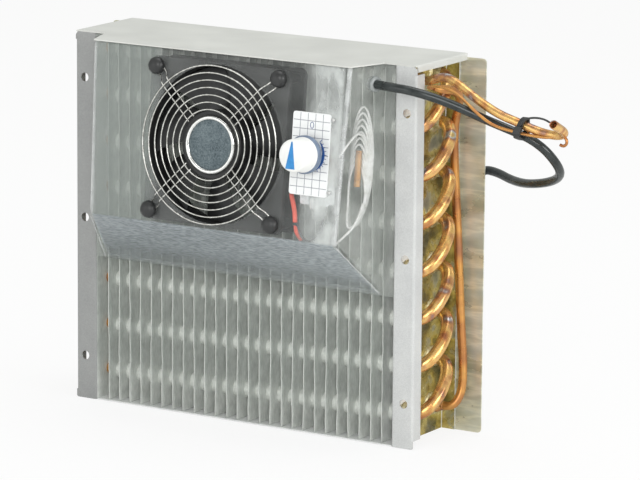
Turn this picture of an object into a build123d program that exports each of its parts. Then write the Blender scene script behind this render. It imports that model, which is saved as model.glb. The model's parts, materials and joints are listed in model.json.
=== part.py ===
from build123d import *
import math
import os

os.makedirs("parts", exist_ok=True)

# Small ventilated evaporator, built of a finned tube coil in a sheet-metal case and a clear fan hood.
# Millimetres. X runs along the fin pack, Y from the hood to the back plate, Z up.
# The origin is the middle of the underside of the case, half-way between its front and back faces.

# ---- case
width = 295.0              # over the two mounting flanges
height = 280.0             # underside to top panel
depth = 72.0               # flange front face to back-plate rear face
sheet = 1.0                # sheet-metal thickness
flange_width = 17.0        # mounting flange, from its outer edge to the tube sheet
flange_lip = 11.0          # stiffening lip folded back along the flange's outer edge
lip_end_gap = 6.0          # lip stops this far short of the top and bottom
flange_corners = (1.5, 3.5)   # corner radius of the flange, below and on top
bend_outer = 2.0           # outside radius of a fold
rear_flange = 12.0         # fold that the back plate is riveted to
mount_hole = 6.6           # screw holes in the flanges
mount_inset = 8.0          # hole centre from the flange's outer edge
mount_low = 33.0           # height of the lowest hole
mount_pitch = 106.0        # hole to hole, three up each flange
panel_lip = 5.0            # folded side lip of the top panel
panel_gap = 0.1            # a lip or a sheet's end to the next sheet
tray_lip = 6.0             # upturned rear lip of the bottom sheet; its front edge is plain
tray_set_back = 0.5        # front edge behind the flange face
back_overhang = 15.8       # back plate past each flange edge
back_gap = 3.0             # top of the back plate below the top panel
rivet_head = 6.4           # blind rivets that hold the back plate
rivet_rise = 1.1
rivet_cone = 35.0          # slope of the head's rim
plate_corner = 3.0         # corner radius of the back plate

# ---- coil
tube_od = 9.52
row_pitch = 35.0           # front row to back row
tube_pitch = 35.0          # one tube above the next
tube_levels = 8
lowest_tube = 21.5         # height of the lowest tubes
front_row = 18.0           # front row behind the flange face
fin_thickness = 0.4
fin_count = 26
fin_pitch = 9.6
fin_edge = 2.5             # fin edge to the case, all round
tube_hole_gap = 0.08       # tube to its hole in a fin or a tube sheet
tube_stub = 5.0            # tube past the tube sheet, before its bend
bend_reach = 11.0          # return bend's middle line past the tube's end
bend_radius = 9.0          # and the radius it turns in
bend_steps = 4             # straight facets that stand for a quarter turn
tube_sides = 8             # flats that stand for a tube's round section
ring_flats = 7             # and those round half a ring of tube
line_sides = 6
line_od = 6.35             # suction line and riser
line_bore = 4.75
line_end = 12.0            # straight cup at the suction line's open end
capillary_od = 2.2
reducer = 6.0              # length of the step from a coil tube to a line
reducer_sides = 12
tie_width = 4.6
tie_band = 1.4
tie_span = (16.4, 19.4)    # inside of the closed tie
tie_corners = (3.4, 2.6)   # how far its corners are rounded, outside and inside
tie_head = (3.4, 5.5)      # ratchet head's thickness and height; it is 1 wider than the band
tie_tail = (1.2, 9.0)      # trimmed tail's thickness and length
tie_tail_lean = 12.0

# ---- hood
hood_wall = 1.2
hood_top_depth = 29.4      # face in front of the flange plane, at the top
hood_low_depth = 42.4      # and at the face's lower edge
hood_face_drop = 127.0     # height of the sloping face
hood_foot_drop = 168.5     # height of the hood at the fins
hood_foot_half = 120.5     # half-width at the fins
hood_face_half = 110.5     # half-width at the top of the face
hood_edge = 5.0            # rounding of the hood's edges
hood_strip = 9.0           # flat strip either side that lies on the fins
hood_land = 1.5            # strip's overlap on the hood's foot
hood_foot_rim = 3.4        # flat rim along the hood's lower end
hood_under_lid = 0.3       # gap between the hood's top edge and the top panel
hole_gap = 0.3             # thermostat neck to its holes
grommet_gap = 0.05

# ---- fan
fan_square = 119.0
fan_depth = 25.0
fan_hole_pitch = 105.0
fan_hole = 4.4
fan_corner = 4.0           # corner radius of the frame's flanges
fan_post = 1.8             # wall round each fixing hole
fan_drop = 65.5            # fan centre below the top edge of the face
fan_duct = 115.4           # bore of the fan's duct
fan_flange = 3.6
blade_count = 7
blade_tip_gap = 0.9
hub_outer = 25.2           # plastic hub pressed on the steel cup
hub_below = 2.6            # hub's front edge behind the cup's face
cup_outer = 21.4
cup_wall = 1.2
cup_floor = 2.4            # thickness of the cup's closed front
cup_rim = 2.2              # rounding of its front rim
cup_depth = 27.5
cup_proud = 6.8            # cup's front face in front of the hood face
blade_middle = 13.8        # middle of the blades behind the hood face
shaft_r = 2.0
bearing_gap = 0.05
bearing_r = 4.5
bearing_length = 12.0
bearing_wall = 1.8         # frame's hub round the bush
stator_gap = 0.1
stator_r = 18.5
stator_height = 11.0
motor_plate_r = 22.0
stay_thick = 2.6
stay_width = 5.0
stay_count = 4
stay_turn = 35.0           # first stay's angle from the frame's side
duct_sides = 30            # flats that stand for the duct's round wall
blade_thick = 1.4
blade_pitch = 34.0
guard_wire = 1.3
guard_outer = 57.4
guard_ring_step = 5.3
guard_rings = 7
guard_rise = 7.0           # rings stand this far off the hood face
guard_fine = (24, 18)      # flats that stand for the outer and the inner rings
leg_rest = 7.0             # leg comes down to the face this far inside the screw
leg_past = 2.0             # and ends this far beyond it
leg_gap = 0.02             # a leg's foot to the face
knob_head = 12.5
knob_rise = 5.4
knob_round = 2.2           # rounding of the domed head
knob_sides = 12
screw_r = 2.0
screw_past = 1.5           # screw's end behind the frame

# ---- thermostat
stat_x = 81.6              # spindle to the right of the fan's axis
stat_up = 1.5              # and above it
plate_w = 31.6
plate_h = 59.5
plate_t = 0.8
plate_round = 2.0
plate_lift = 0.02          # plate to the hood face
stat_body_w = 28.0
stat_body_h = 46.0
stat_body_d = 20.0
stat_round = 2.0           # corners of the body
stat_step = (20.0, 32.0, 4.0)   # raised back of the body
stat_step_drop = 3.0
stat_neck = 9.0            # threaded neck through the hood
stat_neck_top = 5.0        # neck's end above the hood face
spindle_r = 3.0
spindle_gap = 0.05
terminal_size = (23.0, 14.0, 13.0)
blade_entry = (4.5, 6.2, 3.0)   # one socket entry; three at this pitch
entry_pitch = 7.0
terminal_back = 5.0        # housing behind the hood wall
lead_od = 1.8
loops_at = (106.0, -8.0, -30.0)     # middle of the put-up tube, from the fan's axis
loop_half = (7.0, 46.0)    # half-width and half-height of the outer loop
loop_count = 3
loop_step = (1.0, 3.4, 2.6)    # each loop narrower, shorter and nearer the face
loop_corner = (3.0, 6.0)   # how its corners are cut
stat_capillary_od = 1.6
bulb_od = 5.0
bulb_length = 26.0
dial_skirt = 27.6          # knob's diameter at its skirt
dial_front = 22.6
dial_stand = 6.5           # skirt's underside above the hood face
dial_height = 17.5
dial_bore = 6.0            # blind hole the spindle seats in
dial_lip = 3.5             # height of the skirt
dial_step = 1.0            # skirt past the body of the knob
dial_hollow = (2.0, 1.5)   # wall and depth of the hollow under the skirt
dial_rounds = (0.8, 0.9)   # rounding of the skirt and of the front edge
dial_sides = 24
dial_hub_wall = 2.0        # wall round the spindle hole

# ---- cable
cable_od = 6.5
grommet_od = 11.0
grommet_groove = 8.6       # seat in the hood wall
grommet_bore = 6.9
grommet_lip = 2.0
cable_z = 265.4            # grommet's height
cable_y = 8.0              # grommet in front of the flange plane
coil_turn = 72.0           # diameter at the middle of the coil's turns
coil_layers = 2
coil_at = (52.0, 96.0)     # coil's centre on the floor
coil_tie_gap = 0.4
core_od = 2.3
core_length = 34.0
core_root = 8.0            # straight start of a core
core_spread = 9.0          # tip of an outer core to the side of the middle one
core_short = 2.0           # an outer core ends this far short of the middle one
core_places = ((-1, -1.5, 1.4), (0, 0.0, 4.4), (1, 1.5, 1.4))   # side, place across and height
ferrule_od = 2.0
ferrule_length = 8.0

# ---- places that follow from the sizes above
front = -depth / 2
back = depth / 2
sheet_face = width / 2 - flange_width          # outer face of a tube sheet
case_top = height - sheet                      # underside of the top panel
row_y = (front + front_row, front + front_row + row_pitch)
row_middle = sum(row_y) / 2
slot_size = tube_od + 2 * tube_hole_gap
levels = [lowest_tube + tube_pitch * i for i in range(tube_levels)]
tube_end = sheet_face + tube_stub
plate_front = back - sheet
side_slope = (hood_foot_half - hood_face_half) / hood_top_depth
face_tilt = math.atan2(hood_low_depth - hood_top_depth, hood_face_drop)

face_normal = Vector(0, -math.cos(face_tilt), math.sin(face_tilt))
face_down = Vector(0, -math.sin(face_tilt), -math.cos(face_tilt))
face_top = Vector(0, front - hood_top_depth, case_top)
face = Plane(origin=face_top + face_down * fan_drop, x_dir=(1, 0, 0), z_dir=face_normal)

hood_top = case_top - hood_under_lid
hood_foot = case_top - hood_foot_drop
fan_front = -hood_wall                         # fan's front and rear faces, along the face normal
fan_rear = fan_front - fan_depth
ON_END = (Align.CENTER, Align.CENTER, Align.MIN)
half_tube_turn = Rot(0, 0, 180 / tube_sides)   # sets a tube's flats square

# seat of the cable's grommet: on the hood's right side wall, facing out of it
wall_turn = math.atan(side_slope)
grommet_seat = Plane(
    origin=(hood_foot_half - side_slope * cable_y, front - cable_y, cable_z),
    x_dir=(0, 0, 1), z_dir=(math.cos(wall_turn), -math.sin(wall_turn), 0))


def on_face(x, y, z, shape):
    """Puts a shape on the hood face: x right, y up the face, z out of it, from the fan's axis."""
    return face.location * Pos(x, y, z) * shape


def block(x0, x1, y0, y1, z0, z1):
    return Pos((x0 + x1) / 2, (y0 + y1) / 2, (z0 + z1) / 2) * Box(x1 - x0, y1 - y0, z1 - z0)


def drum(radius, z0, z1, sides):
    """Round piece drawn with a set number of flats, its axis along Z."""
    return Pos(0, 0, z0) * extrude(RegularPolygon(radius, sides), z1 - z0)


def front_edges(shape, level):
    """Edges of a round piece that lie in its front face."""
    return [e for e in shape.edges() if e.center().Z > level - 0.01]


def on_stat(z, shape):
    """Puts a shape on the thermostat's axis, z out of the hood face."""
    return on_face(stat_x, stat_up, z, shape)


def bend_radii(points):
    """Largest arc that each corner's two runs allow: 0.45 of the shorter run over tan(half the turn)."""
    p = [Vector(*q) for q in points]
    radii = []
    for a, b, c in zip(p, p[1:], p[2:]):
        turn = math.radians((b - a).get_angle(c - b))
        radii.append(0.45 * min((b - a).length, (c - b).length) / math.tan(turn / 2))
    return radii


def bent_tube(points, diameter, sides):
    """Tube of straight runs joined by tangent arcs."""
    path = FilletPolyline(*points, radius=bend_radii(points))
    start = Plane(origin=path @ 0, z_dir=path % 0)
    section = start * RegularPolygon(diameter / 2, sides)
    return sweep(section, path=path, transition=Transition.ROUND)


def line_tube(points, diameter, sides):
    """Stiff line of short mitred runs."""
    path = Polyline(*points)
    section = Plane(origin=path @ 0, z_dir=path % 0) * RegularPolygon(diameter / 2, sides)
    return sweep(section, path=path, transition=Transition.RIGHT)


def fold(profile, corners, radius):
    """Rounds the named corners of a flat profile."""
    places = [Vector(*c) for c in corners]
    picked = [v for v in profile.vertices() if min((Vector(v) - c).length for c in places) < 0.01]
    return fillet(picked, radius)


# ---------------------------------------------------------------- case

def corner_cut(edge, z, radius):
    """What rounding one outer corner of a flange takes away."""
    inward = 1 if z < case_top / 2 else -1
    through = Plane.XZ.offset(-front + 1)
    square = through * Pos(edge, z) * Rectangle(2 * radius, 2 * radius)
    circle = through * Pos(edge - radius, z + inward * radius) * Circle(radius)
    return extrude(square, -sheet - 2) - extrude(circle, -sheet - 2)


def end_plate(side):
    """Tube sheet with its mounting flange, stiffening lip and rear fold, out of one folded sheet."""
    inner = sheet_face - sheet
    edge = width / 2
    web = Pos(sheet_face - sheet / 2, (front + plate_front) / 2) * Rectangle(sheet, plate_front - front)
    flange = Pos((inner + edge) / 2, front + sheet / 2) * Rectangle(edge - inner, sheet)
    rear = Pos(inner + rear_flange / 2, plate_front - sheet / 2) * Rectangle(rear_flange, sheet)
    lip = Pos(edge - sheet / 2, front + flange_lip / 2) * Rectangle(sheet, flange_lip)
    plain = web + flange + rear
    plain = fold(plain, [(inner, front), (inner, plate_front)], bend_outer)
    plain = fold(plain, [(sheet_face, front + sheet), (sheet_face, plate_front - sheet)], bend_outer - sheet)
    lipped = fold(flange + lip, [(edge, front)], bend_outer)
    lipped = fold(lipped, [(edge - sheet, front + sheet)], bend_outer - sheet)

    body = extrude(plain, case_top)
    for z, corner in zip((0, case_top), flange_corners):
        body -= corner_cut(edge, z, corner)
    z0, z1 = lip_end_gap, case_top - lip_end_gap
    body -= block(edge - bend_outer, edge + 1, front - 1, front + sheet + 1, z0, z1)
    fold_zone = Pos(0, 0, z0) * extrude(lipped, z1 - z0)
    body += fold_zone & block(edge - bend_outer - sheet / 2, edge, front, front + flange_lip, z0, z1)

    for i in range(3):
        hole = Pos(edge - mount_inset, front, mount_low + mount_pitch * i) * Rot(90, 0, 0)
        body -= hole * Cylinder(mount_hole / 2, 4 * sheet)
    for y in row_y:
        for z in levels:
            bore = Pos(sheet_face, y, z) * Rot(0, 90, 0)
            body -= bore * half_tube_turn * drum(slot_size / 2, -2 * sheet, 2 * sheet, tube_sides)
    return body if side > 0 else mirror(body, Plane.YZ)


def top_panel():
    """Flat lid that also roofs the hood, with a folded lip down each side."""
    half = width / 2
    right = [(half, back), (half, front), (hood_foot_half, front), (hood_face_half, front - hood_top_depth)]
    left = [(-x, y) for x, y in reversed(right)]
    lid = extrude(Pos(0, 0, case_top) * make_face(Polyline(*right, *left, close=True)), sheet)
    for side in (-1, 1):
        y0, y1 = front + bend_outer, plate_front - panel_gap
        lip = block(half - sheet, half, y0, y1, height - panel_lip, height)
        lid += lip if side > 0 else mirror(lip, Plane.YZ)
    folds = lid.edges().filter_by(Axis.Y).group_by(Axis.Z)[-1]
    return fillet(folds, bend_outer - sheet / 2)


def bottom_sheet():
    """Shallow tray between the tube sheets, folded up behind."""
    half = sheet_face - sheet - panel_gap
    y0, y1 = front + tray_set_back, plate_front - sheet - panel_gap
    floor_strip = Pos((y0 + y1) / 2, sheet / 2) * Rectangle(y1 - y0, sheet)
    rear_lip = Pos(y1 - sheet / 2, tray_lip / 2) * Rectangle(sheet, tray_lip)
    profile = fold(floor_strip + rear_lip, [(y1, 0)], bend_outer)
    profile = fold(profile, [(y1 - sheet, sheet)], bend_outer - sheet)
    return Pos(-half, 0, 0) * extrude(Plane.YZ * profile, 2 * half)


def rivet_places():
    x = sheet_face - sheet + rear_flange / 2 + sheet
    return [(side * x, mount_low + mount_pitch * i) for side in (-1, 1) for i in range(3)]


def back_plate():
    """Polished flat plate behind the coil, wider than the case."""
    half = width / 2 + back_overhang
    plate = block(-half, half, plate_front, back, 0, height - back_gap)
    return fillet(plate.edges().filter_by(Axis.Y), plate_corner)


def rivets():
    """Low domed heads on the rear face of the back plate."""
    heads = []
    for x, z in rivet_places():
        head = extrude(RegularPolygon(rivet_head / 2, 8), rivet_rise, taper=rivet_cone)
        heads.append(Pos(x, back, z) * Rot(-90, 0, 0) * head)
    return Compound(heads)


# ---------------------------------------------------------------- coil

def fins():
    """Plate fins, each with one long slot for every hairpin that passes through it."""
    z0, z1 = fin_edge, case_top - fin_edge
    y0, y1 = front + fin_edge, plate_front - fin_edge
    plate = Pos((y0 + y1) / 2, (z0 + z1) / 2) * Rectangle(y1 - y0, z1 - z0)
    slot = Rectangle(row_pitch + slot_size, slot_size)
    for z in levels:
        plate -= Pos(row_middle, z) * slot
    one = extrude(Plane.YZ * plate, fin_thickness)
    first = -fin_pitch * (fin_count - 1) / 2 - fin_thickness / 2
    return Compound([Pos(first + fin_pitch * i, 0, 0) * one for i in range(fin_count)])


def half_ring(a, b, out):
    """Points round half a ring from a to b that bulges along X: out is +1 or -1."""
    middle, arm = (a + b) / 2, (a - b) / 2
    reach = Vector(out * arm.length, 0, 0)
    steps = [math.pi * i / ring_flats for i in range(ring_flats + 1)]
    return [middle + arm * math.cos(t) + reach * math.sin(t) for t in steps]


def coil_tube(points, run):
    """Tube of the coil along flats; run is the direction of its first stretch."""
    section = Plane(origin=points[0], x_dir=(0, 1, 0), z_dir=run) * half_tube_turn
    section *= RegularPolygon(tube_od / 2, tube_sides)
    return sweep(section, path=Polyline(*points), transition=Transition.RIGHT)


def hairpins():
    """Eight level U tubes pushed through the fins from the left, front row to back row."""
    tubes = []
    left = -sheet_face - tube_stub
    for z in levels:
        a, b = Vector(left, row_y[0], z), Vector(left, row_y[1], z)
        points = [Vector(tube_end, row_y[0], z), *half_ring(a, b, -1), Vector(tube_end, row_y[1], z)]
        tubes.append(coil_tube(points, (-1, 0, 0)))
    return Compound(tubes)


def return_bends():
    """Brazed crossover bends on the right, each from a front tube to the back tube one level up."""
    bends = []
    out = Vector(bend_reach - bend_radius, 0, 0)
    turn = Vector(bend_radius, 0, 0)
    angles = [math.pi / 2 * i / bend_steps for i in range(bend_steps + 1)]
    for z, z_up in zip(levels, levels[1:]):
        a, b = Vector(tube_end, row_y[0], z), Vector(tube_end, row_y[1], z_up)
        rise = (b - a).normalized() * bend_radius
        leaving = [a + out + rise * (1 - math.cos(t)) + turn * math.sin(t) for t in angles]
        entering = [b + out - rise * (1 - math.sin(t)) + turn * math.cos(t) for t in angles]
        bends.append(coil_tube([a, *leaving, *entering, b], (1, 0, 0)))
    return Compound(bends)


def tube_reducers():
    """Steps from the two free coil tubes down to the lines."""
    cones = []
    for y, z in ((row_y[0], levels[-1]), (row_y[1], levels[0])):
        big = Plane.YZ.offset(tube_end) * Pos(y, z) * RegularPolygon(tube_od / 2, reducer_sides)
        small = Plane.YZ.offset(tube_end + reducer) * Pos(y, z) * RegularPolygon(line_od / 2, reducer_sides)
        cones.append(loft([big, small]))
    return Compound(cones)


line_x = tube_end + reducer
suction_route = [
    (line_x, row_y[0], levels[-1]), (147, row_y[0], levels[-1]),
    (154, front + 17.6, 269.8), (163, front + 16.2, 271.4), (174.5, front + 13, 267.6),
    (187.1, front + 9, 261.8), (201.6, front + 5, 255.8), (215.5, front + 1.6, 251.2),
    (230, front, 248.1), (244, front, 246.4), (257, front - 1.5, 245.6),
    (265.5, front - 3, 245.9), (270, front - 6.5, 247.2), (271, front - 14, 249.5),
]
riser_route = [
    (line_x, row_y[1], levels[0]), (148, row_y[1], levels[0]), (154, front + 56, 24.5),
    (158, front + 60, 33), (158.5, front + 61.5, 50), (153.5, front + 62, 76),
    (150.5, front + 62, 106), (149.5, front + 62, 150), (149.2, front + 62.3, 195),
    (149.6, front + 61.5, 232), (153, front + 57, 245.5), (155.6, front + 48, 254),
    (155.4, front + 38, 258), (152.5, front + 29, 260), (148.5, front + 22, 260.8),
]
capillary_route = [
    (148.4, front + 21.8, 260.8), (147.6, front + 15, 262), (152, front + 8.6, 264.6),
    (164.4, front + 6.5, 266), (175.5, front + 5, 263.4), (186, front + 1.4, 258.6),
    (198.5, front - 2.2, 251.2), (212, front - 2.6, 243.8), (229, front - 1.8, 240),
    (242, front - 1.8, 239), (255.4, front - 1.5, 239.4), (265, front - 1, 240.6),
    (271, front - 3, 237.5),
]
tie_at = Vector(232.6, front + 4.1, 242.3)     # middle of the tie's loop
cable_start = grommet_seat.origin - grommet_seat.z_dir * 6
cable_out = grommet_seat.origin + grommet_seat.z_dir * 15
cable_route = [
    tuple(cable_start), tuple(cable_out), (149, front - 14.5, 265),
    (166, front - 9.5, 261), (182, front - 1.4, 254.4), (198, front + 4.8, 247.2),
    (215, front + 7.6, 241.6), (234, front + 8.2, 236.3), (244.5, front + 12.2, 228.8),
    (249, front + 20, 219.2), (248, front + 31, 209.6), (240, front + 41, 202.4),
    (227, front + 50, 197), (212, front + 58.5, 193.2), (197, front + 68, 190.8),
    (181, front + 78, 191.4), (165, front + 86.5, 193.2), (150, front + 90.5, 189.6),
    (139, front + 91.5, 177), (132, front + 92, 158), (128.5, front + 92.6, 134),
    (127, front + 93.2, 110), (125.5, front + 94, 86), (123, front + 94.8, 63),
    (119, front + 95.4, 43), (112.5, front + 95.8, 25), (102, front + 96, 11.5),
    (88, front + 96.2, 4.6), (74, front + 96, 3.4),
]
tail_route = [
    (12.4, front + 146, 8.6), (12.6, front + 155, 5.2), (13.6, front + 166, 3.4), (16.5, front + 176, 3.4),
]


def suction_line():
    """Line from the top coil tube, curling to an open cup whose bore is real."""
    body = line_tube(suction_route, line_od, line_sides)
    a, b = Vector(*suction_route[-2]), Vector(*suction_route[-1])
    along = (b - a).normalized()
    cup = Cylinder(line_od / 2, line_end) - Cylinder(line_bore / 2, line_end + 1)
    return body + Plane(origin=b, z_dir=along).location * Pos(0, 0, line_end / 2) * cup


def cable_tie():
    """Nylon band round both lines and the cable, with its ratchet head and trimmed tail."""
    loop = Plane(origin=tie_at, x_dir=(0, 1, 0), z_dir=(1, 0, 0))
    wide, high = tie_span
    outer = chamfer(Rectangle(wide + 2 * tie_band, high + 2 * tie_band).vertices(), tie_corners[0])
    inner = chamfer(Rectangle(wide, high).vertices(), tie_corners[1])
    band = extrude(loop * outer - loop * inner, tie_width / 2, both=True)
    in_front = -wide / 2 - tie_band - tie_head[0] / 2 + 0.1
    head = Pos(0, in_front, -tie_head[1] / 2) * Box(tie_width + 1, tie_head[0], tie_head[1])
    tail = Rot(tie_tail_lean, 0, 0) * Box(tie_width - 1, *tie_tail)
    return band + Pos(*tie_at) * (head + Pos(0, in_front, tie_tail[1] / 2 - 1.3) * tail)


# ---------------------------------------------------------------- hood

def hood_form(inset):
    """Hood's outside with every wall moved in by inset; open behind, square to the fins."""
    half = hood_foot_half - inset * math.hypot(1, side_slope)
    plan_y = [front, front - hood_low_depth - 10]
    plan = [(half, plan_y[0]), (half + side_slope * (plan_y[1] - front), plan_y[1])]
    outline = [*plan, *[(-x, y) for x, y in reversed(plan)]]
    solid = extrude(make_face(Polyline(*outline, close=True)), hood_top - inset)
    low_y, low_z = front - hood_low_depth, case_top - hood_face_drop
    slope = math.atan2(low_z - hood_foot, hood_low_depth)
    face_cut = Plane(origin=face_top - face_normal * inset, x_dir=(1, 0, 0), z_dir=face_normal)
    solid -= face_cut.location * Pos(0, 0, 100) * Box(600, 600, 200)
    under = Vector(0, -math.sin(slope), -math.cos(slope))
    foot_cut = Plane(origin=Vector(0, low_y, low_z) - under * inset, x_dir=(1, 0, 0), z_dir=under)
    solid -= foot_cut.location * Pos(0, 0, 200) * Box(600, 900, 400)
    centres = [(e, e.center()) for e in solid.edges()]
    rims = [e for e, c in centres if c.Y < front - hood_wall - 1 and c.Z < hood_top - inset - 0.5]
    return fillet(rims, hood_edge - inset)


def hood():
    """Clear formed hood: drafted sides, raked face with the fan opening, and a strip along each side."""
    half = hood_foot_half - hood_land
    y0, y1 = front, front + hood_wall
    mouth = block(-half, half, front - hood_wall, front + 1, hood_foot + hood_foot_rim, hood_top - hood_wall)
    shell = hood_form(0) - hood_form(hood_wall) - mouth
    strip = block(half, hood_foot_half + hood_strip, y0, y1, hood_foot, hood_top)
    shell += strip + mirror(strip, Plane.YZ)
    shell += block(-hood_foot_half, hood_foot_half, y0, y1, hood_foot, hood_foot + hood_foot_rim)
    through = 3 * hood_wall
    shell -= on_face(0, 0, 0, drum(fan_duct / 2, -through, through, 36))
    for x, y in corner_places():
        shell -= on_face(x, y, 0, drum(fan_hole / 2, -through, through, 8))
    shell -= on_stat(0, drum(stat_neck / 2 + hole_gap, -through, through, 16))
    shell -= grommet_seat.location * drum(grommet_groove / 2 + grommet_gap, -through, through, 16)
    return shell


def cable_grommet():
    """Rubber ring in the hood's side, grooved to the wall, with the cable's bore through it."""
    lip, groove = grommet_lip, hood_wall + grommet_gap
    outer = chamfer(drum(grommet_od / 2, leg_gap, lip, 16).edges().group_by(Axis.Z)[-1], lip / 3)
    outer += drum(grommet_groove / 2, -groove, leg_gap, 16)
    outer += drum(grommet_od / 2, -groove - lip, -groove, 16)
    return grommet_seat.location * (outer - drum(grommet_bore / 2, -2 * lip - groove, 2 * lip, 16))


# ---------------------------------------------------------------- fan

def corner_places():
    """Four corners of the fan's bolt square."""
    h = fan_hole_pitch / 2
    return [(x, y) for y in (h, -h) for x in (-h, h)]


def fan_frame():
    """Square frame: two flanges, the duct between them, four stays to the motor plate behind."""
    outline = fillet(Rectangle(fan_square, fan_square).vertices(), fan_corner)
    bore = drum(fan_duct / 2 / math.cos(math.pi / duct_sides), fan_rear - 1, fan_front + 1, duct_sides)
    frame = Pos(0, 0, fan_front - fan_flange) * extrude(outline, fan_flange)
    frame += Pos(0, 0, fan_rear) * extrude(outline, fan_flange)
    frame += drum(fan_square / 2 - 0.3, fan_rear + 1, fan_front - 1, duct_sides)
    frame -= bore
    for x, y in corner_places():
        frame += Pos(x, y, 0) * drum(fan_hole / 2 + fan_post, fan_rear + 1, fan_front - 1, 8)
        frame -= Pos(x, y, 0) * drum(fan_hole / 2, fan_rear - 1, fan_front + 1, 8)
    reach = fan_duct / 2 - motor_plate_r
    stay = Box(reach + stay_width, stay_width, stay_thick)
    middle = Pos(motor_plate_r + reach / 2, 0, fan_rear + stay_thick / 2)
    turns = [Rot(0, 0, stay_turn + 360 / stay_count * i) for i in range(stay_count)]
    frame += drum(motor_plate_r, fan_rear, fan_rear + stay_thick, duct_sides)
    frame += [turn * middle * stay for turn in turns]
    frame += drum(bearing_r + bearing_wall, fan_rear + 1, fan_rear + bearing_length, 16)
    frame -= drum(bearing_r, fan_rear - 1, fan_rear + bearing_length + 1, 12)
    return face.location * frame


def fan_bearing():
    """Sintered bush in the frame's hub; the rotor shaft runs in it."""
    bore = Cylinder(shaft_r + bearing_gap, bearing_length, align=ON_END)
    return on_face(0, 0, fan_rear, drum(bearing_r, 0, bearing_length, 12) - bore)


def fan_stator():
    """Wound core on the hub, inside the rotor cup."""
    core = drum(stator_r, 0, stator_height, 16)
    core -= drum(bearing_r + bearing_wall + stator_gap, -1, stator_height + 1, 16)
    return on_face(0, 0, fan_rear + stay_thick, core)


def rotor_cup():
    """Steel cup with a rounded front rim, closed in front, open towards the motor plate."""
    low = cup_proud - cup_depth
    cup = drum(cup_outer, low, cup_proud, 24)
    cup = chamfer(front_edges(cup, cup_proud), cup_rim)
    cup -= drum(cup_outer - cup_wall, low - 1, cup_proud - cup_floor, 24)
    cup -= Pos(0, 0, low) * Cylinder(shaft_r, cup_depth - cup_floor / 3, align=ON_END)
    return face.location * cup


def rotor_shaft():
    """Steel shaft pressed into the cup and running in the bush."""
    low = fan_rear + bearing_gap * 12
    return on_face(0, 0, low, Cylinder(shaft_r, cup_proud - cup_floor / 3 - low, align=ON_END))


def blade():
    """One swept blade: a sickle outline, tilted about its root-to-tip line."""
    root, tip = hub_outer - 3, fan_duct / 2 + 3
    outline = [
        (root, -7.5), (root + 10, -9.5), (root + 20, -8), (root + 30, -3.5), (tip, 2),
        (tip, 24), (root + 28, 15), (root + 16, 9.5), (root, 8),
    ]
    plate = Pos(0, 0, -blade_thick / 2) * extrude(make_face(Polyline(*outline, close=True)), blade_thick)
    return Rot(blade_pitch, 0, 0) * plate


def fan_impeller():
    """Plastic hub ring pressed on the cup, with seven blades."""
    top, low = cup_proud - hub_below, cup_proud - cup_depth
    ring = drum(hub_outer, low, top, 24) - drum(cup_outer + bearing_gap, low - 1, top + 1, 24)
    limit = drum(fan_duct / 2 - blade_tip_gap, -fan_depth, fan_depth, 60)
    keep_out = drum(hub_outer - blade_thick / 2, -fan_depth, fan_depth, 24)
    one = Pos(0, 0, -blade_middle) * ((blade() & limit) - keep_out)
    return face.location * (ring + [Rot(0, 0, 360 / blade_count * i) * one for i in range(blade_count)])


def wire_run(points, size):
    """Square-section wire along a flat-sided path."""
    path = Polyline(*points)
    start = Plane(origin=path @ 0, z_dir=path % 0)
    return sweep(start * Rectangle(size, size), path=path, transition=Transition.RIGHT)


def guard_ring(radius):
    """One flat-sided ring of the guard."""
    sides = guard_fine[0] if radius > guard_outer / 2 else guard_fine[1]
    low, high = guard_rise, guard_rise + guard_wire
    outside = drum(radius + guard_wire / 2, low, high, sides)
    return outside - drum(radius - guard_wire / 2, low - 1, high + 1, sides)


def guard_leg(side, inner):
    """One side of a hairpin leg along X: under the rings, then down to the hood face at the screw."""
    corner = math.hypot(fan_hole_pitch / 2, fan_hole_pitch / 2)
    y = side * (screw_r + guard_wire)
    z, foot = guard_rise - guard_wire / 2, guard_wire / 2 + leg_gap
    route = [
        (inner - 1, y, z), (guard_outer + 0.5, y, z),
        (corner - leg_rest, y, foot), (corner + leg_past, y, foot),
    ]
    end = (corner + leg_past + guard_wire / 2, 0, foot)
    return wire_run(route, guard_wire) + Pos(*end) * Box(guard_wire, 2 * abs(y) + guard_wire, guard_wire)


def fan_guard():
    """Wire guard: concentric rings, and a hairpin leg from the inner ring out to each corner."""
    radii = [guard_outer - guard_ring_step * i for i in range(guard_rings)]
    rings = [guard_ring(radius) for radius in radii]
    leg = guard_leg(-1, radii[-1]) + guard_leg(1, radii[-1])
    legs = [Rot(0, 0, angle) * leg for angle in (45, 135, 225, 315)]
    return face.location * (rings[0] + rings[1:] + legs)


def guard_knobs():
    """Black domed fixings: the head clamps the guard's leg, the shank runs through hood and frame."""
    knobs = []
    seat = guard_wire + 2 * leg_gap
    for x, y in corner_places():
        head = drum(knob_head / 2, seat, seat + knob_rise, knob_sides)
        head = chamfer(front_edges(head, seat + knob_rise), knob_round)
        shank = drum(screw_r, fan_rear - screw_past, seat + 1, 6)
        knobs.append(on_face(x, y, 0, head + shank))
    return Compound(knobs)


# ---------------------------------------------------------------- thermostat

def thermostat_plate():
    """Thin scale plate on the hood face, round cornered."""
    plate = extrude(fillet(Rectangle(plate_w, plate_h).vertices(), plate_round), plate_t)
    return on_stat(plate_lift, plate - drum(stat_neck / 2 + hole_gap, -1, 2 * plate_t, 16))


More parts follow.
